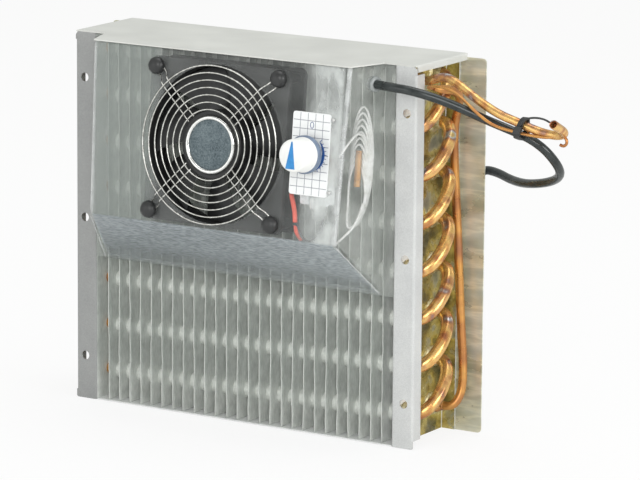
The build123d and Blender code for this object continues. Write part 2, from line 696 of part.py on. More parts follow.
def thermostat_body():
    """Switch body behind the hood face, its threaded neck through the face and the plate."""
    body = Pos(0, 0, -stat_body_d / 2) * Box(stat_body_w, stat_body_h, stat_body_d)
    body = chamfer(body.edges().filter_by(Axis.Z), stat_round)
    step = Pos(0, -stat_step_drop, -stat_body_d - stat_step[2] / 2) * Box(*stat_step)
    neck = drum(stat_neck / 2, -1, stat_neck_top + hood_wall, 20)
    bore = Pos(0, 0, -8) * Cylinder(spindle_r + spindle_gap, stat_body_d + stat_neck_top, align=ON_END)
    return on_stat(-hood_wall - spindle_gap, body + step + neck - bore)


def thermostat_spindle():
    """Spindle that the knob turns."""
    low = -hood_wall - 7.5
    return on_stat(low, Cylinder(spindle_r, dial_stand + dial_bore - low, align=ON_END))


def thermostat_knob():
    """Tapered round knob with a rolled skirt; blind hole for the spindle behind."""
    skirt, crown, body = dial_skirt / 2, dial_front / 2, dial_skirt / 2 - dial_step
    wall, hollow = dial_hollow
    low = drum(skirt, 0, dial_lip, dial_sides)
    low = chamfer(front_edges(low, dial_lip), dial_rounds[0])
    rise = dial_height - hollow
    draft = math.degrees(math.atan((body - crown) / rise))
    top = Pos(0, 0, hollow) * extrude(RegularPolygon(body, dial_sides), rise, taper=draft)
    top = chamfer(front_edges(top, dial_height), dial_rounds[1])
    knob = low + top - drum(skirt - wall, -1, hollow, dial_sides)
    knob += drum(spindle_r + dial_hub_wall, 0, wall, 16)
    return on_stat(dial_stand, knob - Pos(0, 0, -1) * Cylinder(spindle_r, dial_bore + 1, align=ON_END))


def terminal_block():
    """White socket housing on the thermostat's lower edge, with three blade entries."""
    wide, high, deep = terminal_size
    housing = Box(wide, high, deep)
    for x in (-entry_pitch, 0, entry_pitch):
        housing -= Pos(x, high / 2 - blade_entry[2], 1) * Box(*blade_entry)
    below = (stat_body_h + high) / 2 + spindle_gap
    return on_stat(-hood_wall - terminal_back - deep / 2, Pos(0, -below, 0) * housing)


def thermostat_capillary():
    """Spare sensing capillary put up in long loops inside the hood, ending at its bulb."""
    x, y, z = loops_at
    leave = stat_x + stat_body_w / 2
    cut_x, cut_y = loop_corner
    points = [(leave + 0.05, y + 8, z + 18), (leave + 3, y + 8, z + 16), (x - 4, y + 14, z + 9)]
    for turn in range(loop_count):
        w = loop_half[0] - loop_step[0] * turn
        h = loop_half[1] - loop_step[1] * turn
        low = z + loop_step[2] * turn - loop_half[0] / 2
        ring = [
            (cut_x - w, h, 0), (w - cut_x, h, 0), (w, h - cut_y, 0), (w, cut_y - h, 0),
            (w - cut_x, -h, 1), (cut_x - w, -h, 1), (-w, cut_y - h, 1), (-w, h - 1.5 * cut_y, 2),
        ]
        points += [(x + dx, y + dy, low + dz) for dx, dy, dz in ring]
    bulb_top = bulb_length / 2 + stat_capillary_od
    points += [(x + 1, y + bulb_top + 14, z + 7.5), (x + 2.5, y + bulb_top, z + 8)]
    return face.location * line_tube(points, stat_capillary_od, 4)


def sensor_bulb():
    """Copper bulb at the end of the sensing capillary, inside the hood's side."""
    x, y, z = loops_at
    bulb = drum(bulb_od / 2, -bulb_length / 2, bulb_length / 2, 10)
    return on_face(x + 2.5, y + stat_capillary_od / 2, z + 8, Rot(90, 0, 0) * bulb)


# ---------------------------------------------------------------- cables

def fan_leads():
    """Two insulated leads from the side of the fan frame to the terminal block, entered from below."""
    side = fan_square / 2 + spindle_gap
    entry = stat_up - stat_body_h / 2 - terminal_size[1] - 2 * spindle_gap
    routes = [
        [(side, -29, -14), (64, -30.5, -12.5), (67, -37, -11.5), (68.5, -46, -11.5),
         (72, -49, -12), (stat_x - entry_pitch, -46, -12.5), (stat_x - entry_pitch, entry, -12.7)],
        [(side, -34, -15), (63, -37, -14.5), (64.5, -48, -14), (68, -56, -13.5),
         (75, -57, -13), (stat_x, -49, -12.7), (stat_x, entry, -12.7)],
    ]
    return Compound([face.location * line_tube(route, lead_od, 5) for route in routes])


def power_cable():
    """Round cable from the grommet, past the tie, round behind the back plate and down to the floor."""
    return bent_tube(cable_route, cable_od, 6)


def cable_coil():
    """The outer shape of the coil that the rest of the cable is wound into, flat on the floor."""
    outer = coil_turn / 2 + cable_od
    inner = coil_turn / 2 - cable_od
    ring = drum(outer, 0, coil_layers * cable_od, 24) - drum(inner, -1, coil_layers * cable_od + 1, 24)
    return Pos(*coil_at, 0) * ring


def cable_tail():
    """Last of the cable, out of the coil and along the floor."""
    return bent_tube(tail_route, cable_od, 6)


def coil_tie():
    """Band round the coil's turns, on the side away from the case."""
    size = coil_layers * cable_od + coil_tie_gap
    band = Box(size + 2 * tie_band, tie_width, size + tie_band)
    band -= Pos(0, 0, -tie_band / 2) * Box(size, tie_width + 1, size)
    return Pos(coil_at[0] + coil_turn / 2, coil_at[1], (size + tie_band) / 2) * band


def core_lines():
    """Root and tip of each of the three cores that the stripped end spreads into."""
    before, end = Vector(*tail_route[-2]), Vector(*tail_route[-1])
    ahead = (end - before).normalized() * core_root
    lines = []
    for side, across, up in core_places:
        begin = Vector(end.X + across, end.Y + 0.1, up)
        aside = core_spread * side + 2.5
        reach = core_length - core_short * abs(side)
        lines.append((begin, begin + ahead, Vector(end.X + aside, end.Y + reach, core_od / 2)))
    return lines


def end_cores():
    """Three insulated cores, one still lying on the other two where they leave the jacket."""
    return Compound([line_tube(line, core_od, 6) for line in core_lines()])


def end_ferrules():
    """Crimped ferrules on the three cores."""
    pins = []
    for begin, root, tip in core_lines():
        along = tip - root
        pin = Plane(origin=tip, z_dir=Vector(along.X, along.Y, 0).normalized())
        pins.append(pin.location * drum(ferrule_od / 2, 0.3, ferrule_length, 8))
    return Compound(pins)


if __name__ == "__main__":
    nodes = {
        "left_end_plate": end_plate(-1),
        "right_end_plate": end_plate(1),
        "top_panel": top_panel(),
        "bottom_sheet": bottom_sheet(),
        "back_plate": back_plate(),
        "back_plate_rivets": rivets(),
        "fins": fins(),
        "hairpin_tubes": hairpins(),
        "return_bends": return_bends(),
        "tube_reducers": tube_reducers(),
        "suction_line": suction_line(),
        "riser_line": line_tube(riser_route, line_od, line_sides),
        "capillary_tube": line_tube(capillary_route, capillary_od, 4),
        "cable_tie": cable_tie(),
        "hood": hood(),
        "cable_grommet": cable_grommet(),
        "fan_frame": fan_frame(),
        "fan_bearing": fan_bearing(),
        "fan_stator": fan_stator(),
        "rotor_cup": rotor_cup(),
        "rotor_shaft": rotor_shaft(),
        "fan_impeller": fan_impeller(),
        "fan_guard": fan_guard(),
        "guard_knobs": guard_knobs(),
        "thermostat_plate": thermostat_plate(),
        "thermostat_body": thermostat_body(),
        "thermostat_spindle": thermostat_spindle(),
        "thermostat_knob": thermostat_knob(),
        "thermostat_capillary": thermostat_capillary(),
        "sensor_bulb": sensor_bulb(),
        "terminal_block": terminal_block(),
        "fan_leads": fan_leads(),
        "power_cable": power_cable(),
        "cable_coil": cable_coil(),
        "coil_tie": coil_tie(),
        "cable_tail": cable_tail(),
        "end_cores": end_cores(),
        "end_ferrules": end_ferrules(),
    }
    for name, shape in nodes.items():
        export_step(shape, f"parts/{name}.step")
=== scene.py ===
import json
import math

import bmesh
import bpy
import numpy as np
from mathutils import Matrix, Vector


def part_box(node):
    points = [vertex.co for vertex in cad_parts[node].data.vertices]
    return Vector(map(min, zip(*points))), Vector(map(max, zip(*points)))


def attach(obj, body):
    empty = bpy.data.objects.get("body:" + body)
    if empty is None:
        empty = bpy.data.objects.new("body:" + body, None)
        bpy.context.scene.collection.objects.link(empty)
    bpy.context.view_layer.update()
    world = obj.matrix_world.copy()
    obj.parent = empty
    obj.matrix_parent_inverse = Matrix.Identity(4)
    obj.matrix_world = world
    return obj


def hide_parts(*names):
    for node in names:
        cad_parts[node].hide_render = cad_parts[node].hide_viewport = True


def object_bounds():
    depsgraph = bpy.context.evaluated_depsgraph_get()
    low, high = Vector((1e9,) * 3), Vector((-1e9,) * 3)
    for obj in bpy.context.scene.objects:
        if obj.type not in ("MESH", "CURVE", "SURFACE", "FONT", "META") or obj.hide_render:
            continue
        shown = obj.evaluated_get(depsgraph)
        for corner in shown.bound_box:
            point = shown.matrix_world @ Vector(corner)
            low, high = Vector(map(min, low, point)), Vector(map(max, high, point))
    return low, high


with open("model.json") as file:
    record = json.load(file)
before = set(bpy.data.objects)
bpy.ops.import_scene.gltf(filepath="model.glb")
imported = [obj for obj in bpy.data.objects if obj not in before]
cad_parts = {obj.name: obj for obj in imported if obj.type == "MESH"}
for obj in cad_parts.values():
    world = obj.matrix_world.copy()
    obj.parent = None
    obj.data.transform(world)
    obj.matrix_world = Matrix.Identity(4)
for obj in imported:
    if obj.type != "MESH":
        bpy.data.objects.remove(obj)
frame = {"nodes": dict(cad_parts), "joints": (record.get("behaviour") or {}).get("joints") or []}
cad_low, cad_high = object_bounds()
MM = 0.001
scene = bpy.context.scene

# ---------------------------------------------------------------- camera

cam_azimuth, cam_elevation, cam_roll = 31.99, 11.60, 0.46
cam_distance = 3.1676
cam_aim = Vector((0.0334, 0.0190, 0.1320))
cam_lens = 241.36


def set_camera():
    """Camera on a sphere round the aim point: azimuth from the front towards the right, elevation up."""
    data = bpy.data.cameras.new("camera")
    data.lens = cam_lens
    data.sensor_width = 36.0
    data.clip_start, data.clip_end = 0.1, 60.0
    camera = bpy.data.objects.new("camera", data)
    scene.collection.objects.link(camera)
    a, e = math.radians(cam_azimuth), math.radians(cam_elevation)
    away = Vector((math.sin(a) * math.cos(e), -math.cos(a) * math.cos(e), math.sin(e)))
    turn = (-away).to_track_quat("-Z", "Y").to_matrix().to_4x4()
    roll = Matrix.Rotation(math.radians(cam_roll), 4, "Z")
    camera.matrix_world = Matrix.Translation(cam_aim + away * cam_distance) @ turn @ roll
    scene.camera = camera


# ---------------------------------------------------------------- places read from the frame

def low_high(node):
    """Lowest and highest corner of a node's box."""
    low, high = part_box(node)
    return np.array(low), np.array(high)


joint = {j["name"]: j for j in frame["joints"]}
fan_at = np.array(joint["fan_spin"]["pos_m"])
face_out = np.array(joint["fan_spin"]["axis"])
face_out = face_out / np.linalg.norm(face_out)
face_right = np.array([1.0, 0.0, 0.0])
face_up = np.cross(face_out, face_right)
dial_at = np.array(joint["thermostat_turn"]["pos_m"])
dial_x = float(dial_at[0])
dial_y = float((dial_at - fan_at) @ face_up)

pins_low, pins_high = low_high("hairpin_tubes")
fins_low, fins_high = low_high("fins")
front = float(low_high("right_end_plate")[0][1])
tube_r = 4.76 * MM
rows = (front + 18 * MM, front + 53 * MM)
levels = np.linspace(21.5, 266.5, 8) * MM
tube_sheet = 130.5 * MM
tube_end = float(pins_high[0])
slope_top = 0.152
slope_foot = 0.1115
hood_half = 120.5
hood_draft = 10.0 / 29.4


def on_face(points):
    """Face coordinates (right, up, out of the hood's face, from the fan's axis) as places in the frame."""
    p = np.asarray(points, float)
    return fan_at + p[..., :1] * face_right + p[..., 1:2] * face_up + p[..., 2:3] * face_out


# ---------------------------------------------------------------- surfaces

def piece(name, verts, faces, material, body="case", stands_for=(), smooth=True, sharp=None):
    """Mesh object with its place in its mesh, riding on a body and standing for CAD nodes."""
    mesh = bpy.data.meshes.new(name)
    mesh.from_pydata(np.asarray(verts, float).reshape(-1, 3).tolist(), [], [list(map(int, f)) for f in faces])
    mesh.validate()
    mesh.polygons.foreach_set("use_smooth", np.full(len(mesh.polygons), smooth))
    if sharp is not None:
        mesh.set_sharp_from_angle(angle=math.radians(sharp))
    obj = bpy.data.objects.new(name, mesh)
    scene.collection.objects.link(obj)
    mesh.materials.append(material)
    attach(obj, body)
    if stands_for:
        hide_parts(*stands_for)
    return obj


def grid_faces(m, n, wrap_u=False, wrap_v=False):
    """Quads of an m by n grid, joined round either way where asked."""
    u = np.arange(m if wrap_u else m - 1)
    v = np.arange(n if wrap_v else n - 1)
    a, b = np.meshgrid(u, v, indexing="ij")
    a, b = a.ravel(), b.ravel()
    c, d = (a + 1) % m, (b + 1) % n
    return np.stack([a * n + b, a * n + d, c * n + d, c * n + b], axis=1)


def join(parts):
    """Several (vertices, faces) pairs as one."""
    verts, faces, start = [], [], 0
    for v, f in parts:
        v = np.asarray(v, float).reshape(-1, 3)
        verts.append(v)
        faces += [[int(i) + start for i in face] for face in f]
        start += len(v)
    return np.concatenate(verts), faces


def skin(rings):
    """Rings of points joined each to the next, and the last to the first."""
    grid = np.stack(rings)
    return grid.reshape(-1, 3), grid_faces(*grid.shape[:2], wrap_u=True, wrap_v=True)


def level_line(radius, angles, height):
    """Points (r cos t, r sin t, height) for a list of angles t."""
    return np.stack([radius * np.cos(angles), radius * np.sin(angles), np.full(len(angles), height)], axis=-1)


def prism(flat, top, bottom):
    """Four-cornered plate between two heights; its corners run anticlockwise seen from above."""
    verts = [(*p, h) for h in (top, bottom) for p in flat]
    walls = [[i, 4 + i, 4 + (i + 1) % 4, (i + 1) % 4] for i in range(4)]
    return np.array(verts), [[0, 1, 2, 3], [7, 6, 5, 4]] + walls


def signed_power(w, power):
    """The size of w raised to a power, with the sign of w."""
    return np.sign(w) * np.abs(w) ** power


def on_dial(points):
    """Face coordinates counted from the thermostat's axis instead of the fan's."""
    return on_face(np.asarray(points, float) + np.array([dial_x, dial_y, 0.0]))


def turned(profile, segments, to_frame=on_face, centre=(0.0, 0.0)):
    """Profile (radius, height) turned about the axis: x = r cos t, y = r sin t, z = height."""
    p = np.asarray(profile, float) * MM
    t = np.linspace(0, 2 * np.pi, segments, endpoint=False)
    r, z = p[:, 0][:, None], p[:, 1][:, None]
    grid = np.stack([r * np.cos(t) + centre[0], r * np.sin(t) + centre[1], z + 0 * t], axis=-1)
    faces = grid_faces(len(p), segments, wrap_v=True)[:, ::-1]
    return to_frame(grid.reshape(-1, 3)), faces


def arc(centre, radius, start, stop, count):
    """Points of a circular arc in a profile plane, angles in degrees."""
    t = np.radians(np.linspace(start, stop, count))
    return [(centre[0] + radius * math.cos(a), centre[1] + radius * math.sin(a)) for a in t]


def frames_along(path):
    """Two cross directions along a path, carried without twist."""
    path = np.asarray(path, float)
    tangent = np.gradient(path, axis=0)
    tangent /= np.linalg.norm(tangent, axis=1)[:, None]
    seed = np.array([0.0, 0.0, 1.0]) if abs(tangent[0][2]) < 0.9 else np.array([1.0, 0.0, 0.0])
    side = np.cross(tangent[0], seed)
    sides = []
    for t in tangent:
        side = side - t * side.dot(t)
        side /= np.linalg.norm(side)
        sides.append(side)
    sides = np.array(sides)
    return sides, np.cross(tangent, sides)


def tube(path, radius, sides=16, capped=True):
    """Circle carried along a path: point = path(s) + radius(s) (cos t side + sin t up)."""
    path = np.asarray(path, float)
    a, b = frames_along(path)
    r = np.broadcast_to(np.asarray(radius, float), (len(path),))[:, None, None]
    t = np.linspace(0, 2 * np.pi, sides, endpoint=False)[None, :, None]
    ring = path[:, None] + r * (np.cos(t) * a[:, None] + np.sin(t) * b[:, None])
    verts = ring.reshape(-1, 3)
    faces = grid_faces(len(path), sides, wrap_v=True)[:, ::-1].tolist()
    if capped:
        verts = np.concatenate([verts, path[:1], path[-1:]])
        first, last, total = len(verts) - 2, len(verts) - 1, (len(path) - 1) * sides
        faces += [[first, i, (i + 1) % sides] for i in range(sides)]
        faces += [[last, total + (i + 1) % sides, total + i] for i in range(sides)]
    return verts, faces


def flow(points, resolution=10):
    """Smooth line through a NURBS spline whose control points are given in millimetres."""
    curve = bpy.data.curves.new("flow", "CURVE")
    add_spline(curve, points)
    curve.splines[0].resolution_u = resolution
    holder = bpy.data.objects.new("flow", curve)
    mesh = bpy.data.meshes.new_from_object(holder)
    co = np.zeros(len(mesh.vertices) * 3)
    mesh.vertices.foreach_get("co", co)
    bpy.data.objects.remove(holder)
    bpy.data.meshes.remove(mesh)
    return co.reshape(-1, 3)


def add_spline(curve, points):
    """NURBS spline of order 3 that starts and ends on its control points, given in millimetres."""
    curve.dimensions = "3D"
    spline = curve.splines.new("NURBS")
    spline.points.add(len(points) - 1)
    places = np.ones((len(points), 4))
    places[:, :3] = np.asarray(points, float) * MM
    spline.points.foreach_set("co", places.ravel())
    spline.order_u = 3
    spline.use_endpoint_u = True
    return spline


def rounded(node, material, sharp=35.0, bevel=0.0, body="case"):
    """Copy of a CAD node with its doubles merged, smooth curved faces and slightly broken edges."""
    mesh = frame["nodes"][node].data.copy()
    work = bmesh.new()
    work.from_mesh(mesh)
    bmesh.ops.remove_doubles(work, verts=work.verts, dist=1e-6)
    work.to_mesh(mesh)
    work.free()
    if "custom_normal" in mesh.attributes:
        mesh.attributes.remove(mesh.attributes["custom_normal"])
    mesh.polygons.foreach_set("use_smooth", np.full(len(mesh.polygons), True))
    mesh.set_sharp_from_angle(angle=math.radians(sharp))
    mesh.materials.clear()
    mesh.materials.append(material)
    obj = bpy.data.objects.new(node + "_finished", mesh)
    scene.collection.objects.link(obj)
    if bevel:
        edge = obj.modifiers.new("edges", "BEVEL")
        edge.width = bevel * MM
        edge.segments = 2
        edge.limit_method = "ANGLE"
        edge.angle_limit = math.radians(max(sharp, 40))
    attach(obj, body)
    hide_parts(node)
    return obj


# ---------------------------------------------------------------- finishes

class Finish:
    """A Principled material with helpers that add colour variation, roughness and relief in object space."""

    def __init__(self, name, colour, metallic=0.0, roughness=0.5, **sockets):
        """New material; more of its sockets are set by name, with _ for a space."""
        self.mat = bpy.data.materials.new(name)
        self.mat.use_nodes = True
        self.nodes, self.links = self.mat.node_tree.nodes, self.mat.node_tree.links
        self.shader = self.nodes["Principled BSDF"]
        self.fill(self.shader, Base_Color=colour, Metallic=metallic, Roughness=roughness, **sockets)
        self.place = self.nodes.new("ShaderNodeTexCoord").outputs["Object"]

    def put(self, socket, value):
        """Links an output to the socket, or sets the socket to a plain value."""
        if isinstance(value, bpy.types.NodeSocket):
            self.links.new(value, socket)
        elif isinstance(value, tuple) and len(value) == 3 and socket.type == "RGBA":
            socket.default_value = (*value, 1.0)
        else:
            socket.default_value = value

    def fill(self, node, **values):
        """Puts a value on each named input of a node, with _ for a space; gives the node back."""
        for name, value in values.items():
            self.put(node.inputs[name.replace("_", " ")], value)
        return node

    def add(self, kind, **values):
        """New node of a kind, with its named inputs filled."""
        return self.fill(self.nodes.new("ShaderNode" + kind), **values)

    def mapped(self, scale=(1, 1, 1), turn=(0, 0, 0), centre=(0, 0, 0)):
        """Object coordinates: scaled, or taken from a turned frame about a centre."""
        node = self.add("Mapping", Location=centre, Rotation=turn, Scale=scale, Vector=self.place)
        node.vector_type = "TEXTURE" if centre != (0, 0, 0) or turn != (0, 0, 0) else "POINT"
        return node.outputs["Vector"]

    def noise(self, size, detail=3.0, stretch=(1, 1, 1), rough=0.5):
        """Noise whose grain is about size millimetres, drawn out along an axis by stretch."""
        scale = tuple(1.0 / (size * MM * s) for s in stretch)
        node = self.add("TexNoise", Scale=1.0, Detail=detail, Roughness=rough, Vector=self.mapped(scale))
        return node.outputs["Fac"]

    def ramp(self, fac, *stops):
        """Colour or value ramp; stops are (position, colour or grey)."""
        node = self.add("ValToRGB", Fac=fac)
        band = node.color_ramp
        while len(band.elements) < len(stops):
            band.elements.new(0.5)
        for element, (position, value) in zip(band.elements, stops):
            element.position = position
            element.color = (*value, 1.0) if isinstance(value, tuple) else (value, value, value, 1.0)
        return node.outputs["Color"]

    def blend(self, fac, a, b, kind="MIX"):
        """Colour a carried towards colour b by a share, or combined with it in another way."""
        node = self.add("Mix")
        node.data_type = "RGBA"
        node.blend_type = kind
        colours = [s for s in node.inputs if s.type == "RGBA"]
        for socket, value in zip((node.inputs[0], *colours), (fac, a, b)):
            self.put(socket, value)
        return [s for s in node.outputs if s.type == "RGBA"][0]

    def span(self, value, start, stop, low=0.0, high=1.0):
        """Value carried from start..stop to low..high, clamped, with a soft step."""
        node = self.add("MapRange", Value=value, From_Min=start, From_Max=stop, To_Min=low, To_Max=high)
        node.interpolation_type = "SMOOTHSTEP"
        return node.outputs["Result"]

    def math(self, kind, a, b=0.0, c=None, clamp=False):
        """One arithmetic step on two or three values."""
        node = self.add("Math")
        node.operation = kind
        node.use_clamp = clamp
        for socket, value in zip(node.inputs, (a, b, c)):
            if value is not None:
                self.put(socket, value)
        return node.outputs[0]

    def axes(self, vector=None):
        """The X, Y and Z of a place, or of another vector."""
        return self.add("SeparateXYZ", Vector=vector or self.place).outputs

    def colour(self, value):
        """Sets the base colour."""
        self.fill(self.shader, Base_Color=value)
        return self

    def alpha(self, value):
        """Sets how much the surface covers."""
        self.fill(self.shader, Alpha=value)
        return self

    def roughness(self, fac, low, high):
        """Roughness that runs straight from low to high while the value runs from 0.3 to 0.7."""
        node = self.add("MapRange", Value=fac, From_Min=0.3, From_Max=0.7, To_Min=low, To_Max=high)
        self.fill(self.shader, Roughness=node.outputs["Result"])
        return self

    def relief(self, fac, depth, strength=1.0):
        """Bump of the given depth in millimetres."""
        node = self.add("Bump", Distance=depth * MM, Strength=strength, Height=fac)
        self.fill(self.shader, Normal=node.outputs["Normal"])
        return self


def toned(tone, *colour):
    """A colour times a tone."""
    return tuple(tone * c for c in colour)


def mottled(name, colour, dark, light, shine, grain, detail=4, metallic=0.0, roughness=0.5, top=0.7,
            stretch=(1, 1, 1)):
    """Finish of one noise: its colour runs from dark at 0.3 to light at top, its roughness over shine."""
    f = Finish(name, colour, metallic=metallic, roughness=roughness)
    cloud = f.noise(grain, detail, stretch)
    f.colour(f.ramp(cloud, (0.3, dark), (top, light)))
    return f.roughness(cloud, *shine).mat


def mill_sheet():
    """Mill-finish sheet: fine rolling grain along Z, faint cloudy stains."""
    f = Finish("mill_sheet", (0.62, 0.63, 0.63), metallic=0.75, roughness=0.42)
    grain = f.noise(0.9, 4, (1, 1, 30))
    cloud = f.noise(26, 4)
    base = f.ramp(cloud, (0.25, (0.50, 0.51, 0.52)), (0.75, (0.66, 0.67, 0.67)))
    f.colour(f.blend(0.35, base, f.ramp(grain, (0.3, 0.45), (0.7, 0.75))))
    return f.roughness(cloud, 0.36, 0.5).relief(grain, 0.02, 0.5).mat


def flange_paint(name, tone):
    """Greyish lacquered sheet with a very fine speckle; tone sets how light it is."""
    f = Finish(name, toned(tone, 0.64, 0.64, 0.64), metallic=0.15, roughness=0.5)
    speck = f.noise(0.7, 3)
    cloud = f.noise(22, 3)
    base = f.ramp(cloud, (0.3, toned(tone, 0.60, 0.61, 0.61)), (0.7, toned(tone, 0.72, 0.73, 0.72)))
    f.colour(f.blend(0.3, base, f.ramp(speck, (0.35, 0.46 * tone), (0.65, 0.78 * tone))))
    return f.roughness(cloud, 0.42, 0.55).relief(speck, 0.02, 0.4).mat


def lid_paint():
    """Light grey paint with a faint orange peel and slight mottling."""
    f = Finish("lid_paint", (0.66, 0.66, 0.64), metallic=0.05, roughness=0.42)
    cloud = f.noise(30, 5)
    peel = f.noise(0.9, 2)
    f.colour(f.ramp(cloud, (0.3, (0.61, 0.615, 0.585)), (0.7, (0.69, 0.695, 0.665))))
    return f.roughness(cloud, 0.36, 0.5).relief(peel, 0.015, 0.5).mat


def sheet_painted_reflection():
    """Tube sheet beside the bends: painted white light by the fold, where the flange shades it, then
    straw and olive patches painted as reflections of the copper bends.
    """
    f = Finish("sheet_painted_reflection", (0.50, 0.42, 0.24), metallic=0.7, roughness=0.24)
    axes = f.axes()
    cloud = f.noise(17, 3)
    speck = f.noise(3, 4)
    # painted reflection: straw, olive and grey patches stand for the copper bends mirrored in the sheet
    stain = f.ramp(cloud, (0.34, (0.16, 0.15, 0.07)), (0.44, (0.46, 0.37, 0.10)), (0.52, (0.74, 0.62, 0.20)),
                   (0.60, (0.60, 0.60, 0.46)), (0.70, (0.30, 0.32, 0.26)))
    stain = f.blend(0.18, stain, f.ramp(speck, (0.35, (0.16, 0.13, 0.06)), (0.65, (0.80, 0.76, 0.60))))
    # painted light: white over the first 22 mm behind the front, where the flange shades the sheet
    f.colour(f.blend(f.span(axes["Y"], front + 0.022, front + 0.026), (1.0, 1.0, 1.0), stain))
    return f.roughness(cloud, 0.16, 0.34).relief(cloud, 0.4, 0.4).mat


def polished_sheet():
    """Half-metallic aluminium dulled by handling: straw and grey level bands, brown stains, and
    vertical polishing lines in its relief."""
    f = Finish("polished_sheet", (0.50, 0.53, 0.49), metallic=0.5, roughness=0.34)
    line = f.noise(0.8, 3, (1, 1, 40))
    band = f.noise(8, 3, (6, 6, 1))
    stain = f.noise(14, 5, (2, 2, 1))
    base = f.ramp(band, (0.32, (0.46, 0.50, 0.42)), (0.48, (0.62, 0.63, 0.52)), (0.56, (0.92, 0.90, 0.74)),
                  (0.66, (0.58, 0.58, 0.46)))
    f.colour(f.blend(0.4, base, f.ramp(stain, (0.34, (0.44, 0.40, 0.24)), (0.6, (0.80, 0.83, 0.78)))))
    height = f.math("ADD", f.math("MULTIPLY", line, 0.05), band)
    return f.roughness(stain, 0.24, 0.4).relief(height, 0.3, 0.4).mat


def fin_stock_painted_light():
    """Bright fin stock, lightly stained: fine vertical scratches and speckle on a greenish grey, darker
    along the front edge, with painted light deeper inside the pack and at its foot, where shade falls between
    the fins."""
    f = Finish("fin_stock_painted_light", (0.74, 0.77, 0.73), metallic=0.15, roughness=0.5)
    axes = f.axes()
    scratch = f.noise(0.9, 4, (1, 1, 6))
    cloud = f.noise(7, 5)
    # painted light: the colour brightens from the front edge to 16 mm deep, against the shade between the
    # fins
    inside = f.span(axes["Y"], front + 0.002, front + 0.016)
    # painted light: the colour brightens towards the foot of the pack, against the shade there
    low = f.span(axes["Z"], 0.045, 0.002)
    base = f.blend(inside, (0.52, 0.56, 0.52), (0.97, 1.0, 0.96))
    base = f.blend(f.math("MULTIPLY", low, 0.7), base, (0.95, 0.97, 0.93))
    mottle = f.ramp(cloud, (0.3, (0.74, 0.75, 0.74)), (0.7, (1.0, 1.0, 1.0)))
    base = f.blend(1.0, base, mottle, "MULTIPLY")
    f.colour(f.blend(0.25, base, f.ramp(scratch, (0.35, 0.35), (0.65, 0.85))))
    return f.roughness(cloud, 0.4, 0.56).relief(cloud, 0.12, 0.3).mat


def copper_heated():
    """Bare copper with heat tints: orange-brown, red-purple bands and duller oxide."""
    f = Finish("copper_heated", (0.62, 0.28, 0.10), metallic=0.75, roughness=0.3)
    broad = f.noise(20, 1.5)
    fine = f.noise(6.0, 3)
    tint = f.ramp(broad, (0.28, (0.30, 0.10, 0.04)), (0.42, (0.52, 0.22, 0.07)), (0.56, (0.66, 0.33, 0.09)),
                  (0.68, (0.46, 0.19, 0.07)), (0.82, (0.28, 0.11, 0.08)))
    oxide = f.ramp(fine, (0.35, (0.34, 0.17, 0.08)), (0.62, (0.66, 0.36, 0.13)))
    f.colour(f.blend(0.15, tint, oxide))
    return f.roughness(fine, 0.24, 0.38).mat


def copper_flamed():
    """Copper next to a brazed joint: amber and orange, brown bands, and a blue-grey bloom in places."""
    f = Finish("copper_flamed", (0.66, 0.36, 0.09), metallic=0.75, roughness=0.24)
    broad = f.noise(12, 1.5)
    fine = f.noise(5.0, 3)
    tint = f.ramp(broad, (0.28, (0.40, 0.14, 0.07)), (0.38, (0.66, 0.32, 0.11)), (0.47, (0.86, 0.55, 0.19)),
                  (0.54, (0.72, 0.40, 0.17)), (0.60, (0.50, 0.23, 0.09)), (0.66, (0.30, 0.17, 0.16)),
                  (0.71, (0.52, 0.56, 0.60)), (0.78, (0.60, 0.48, 0.20)), (0.86, (0.50, 0.22, 0.09)))
    f.colour(f.blend(0.12, tint, f.ramp(fine, (0.35, (0.40, 0.21, 0.07)), (0.62, (0.78, 0.48, 0.16)))))
    return f.roughness(fine, 0.17, 0.32).mat


def braze_metal():
    """Pale brass-coloured braze with crusty flux."""
    f = Finish("braze_metal", (0.72, 0.66, 0.42), metallic=0.7, roughness=0.4)
    crust = f.noise(1.6, 5)
    f.colour(f.ramp(crust, (0.3, (0.42, 0.34, 0.14)), (0.5, (0.74, 0.66, 0.38)), (0.72, (0.88, 0.86, 0.74))))
    return f.roughness(crust, 0.3, 0.6).relief(crust, 0.3, 0.6).mat


def clear_plastic():
    """Formed clear plastic: a thin film with a patchy white haze towards the thermostat end and a grey one
    towards the other, clearest before the fan, that thickens to a bright edge at grazing angles."""
    f = Finish("clear_plastic", (0.80, 0.82, 0.82), roughness=0.14, Alpha=0.3, IOR=1.45)
    axes = f.axes()
    haze = f.noise(26, 4, (1.6, 1, 0.5))
    smear = f.noise(5, 4, (1, 1, 3))
    edge = f.add("LayerWeight", Blend=0.25)
    right = f.math("MULTIPLY", f.span(axes["X"], 0.070, 0.092), f.span(axes["X"], 0.1075, 0.1040))
    left = f.span(axes["X"], -0.046, -0.058)
    patch = f.ramp(f.noise(13, 5, (1, 1, 1.5)), (0.3, 0.2), (0.66, 1.0))
    film = f.math("MULTIPLY_ADD", haze, 0.06, 0.0)
    film = f.math("MULTIPLY_ADD", f.math("MULTIPLY", right, patch), 0.46, film)
    film = f.math("MULTIPLY_ADD", left, 0.22, film)
    f.alpha(f.math("MULTIPLY_ADD", edge.outputs["Facing"], 0.26, film, clamp=True))
    f.colour(f.blend(left, (0.80, 0.83, 0.82), (0.42, 0.46, 0.44)))
    return f.roughness(smear, 0.08, 0.2).mat


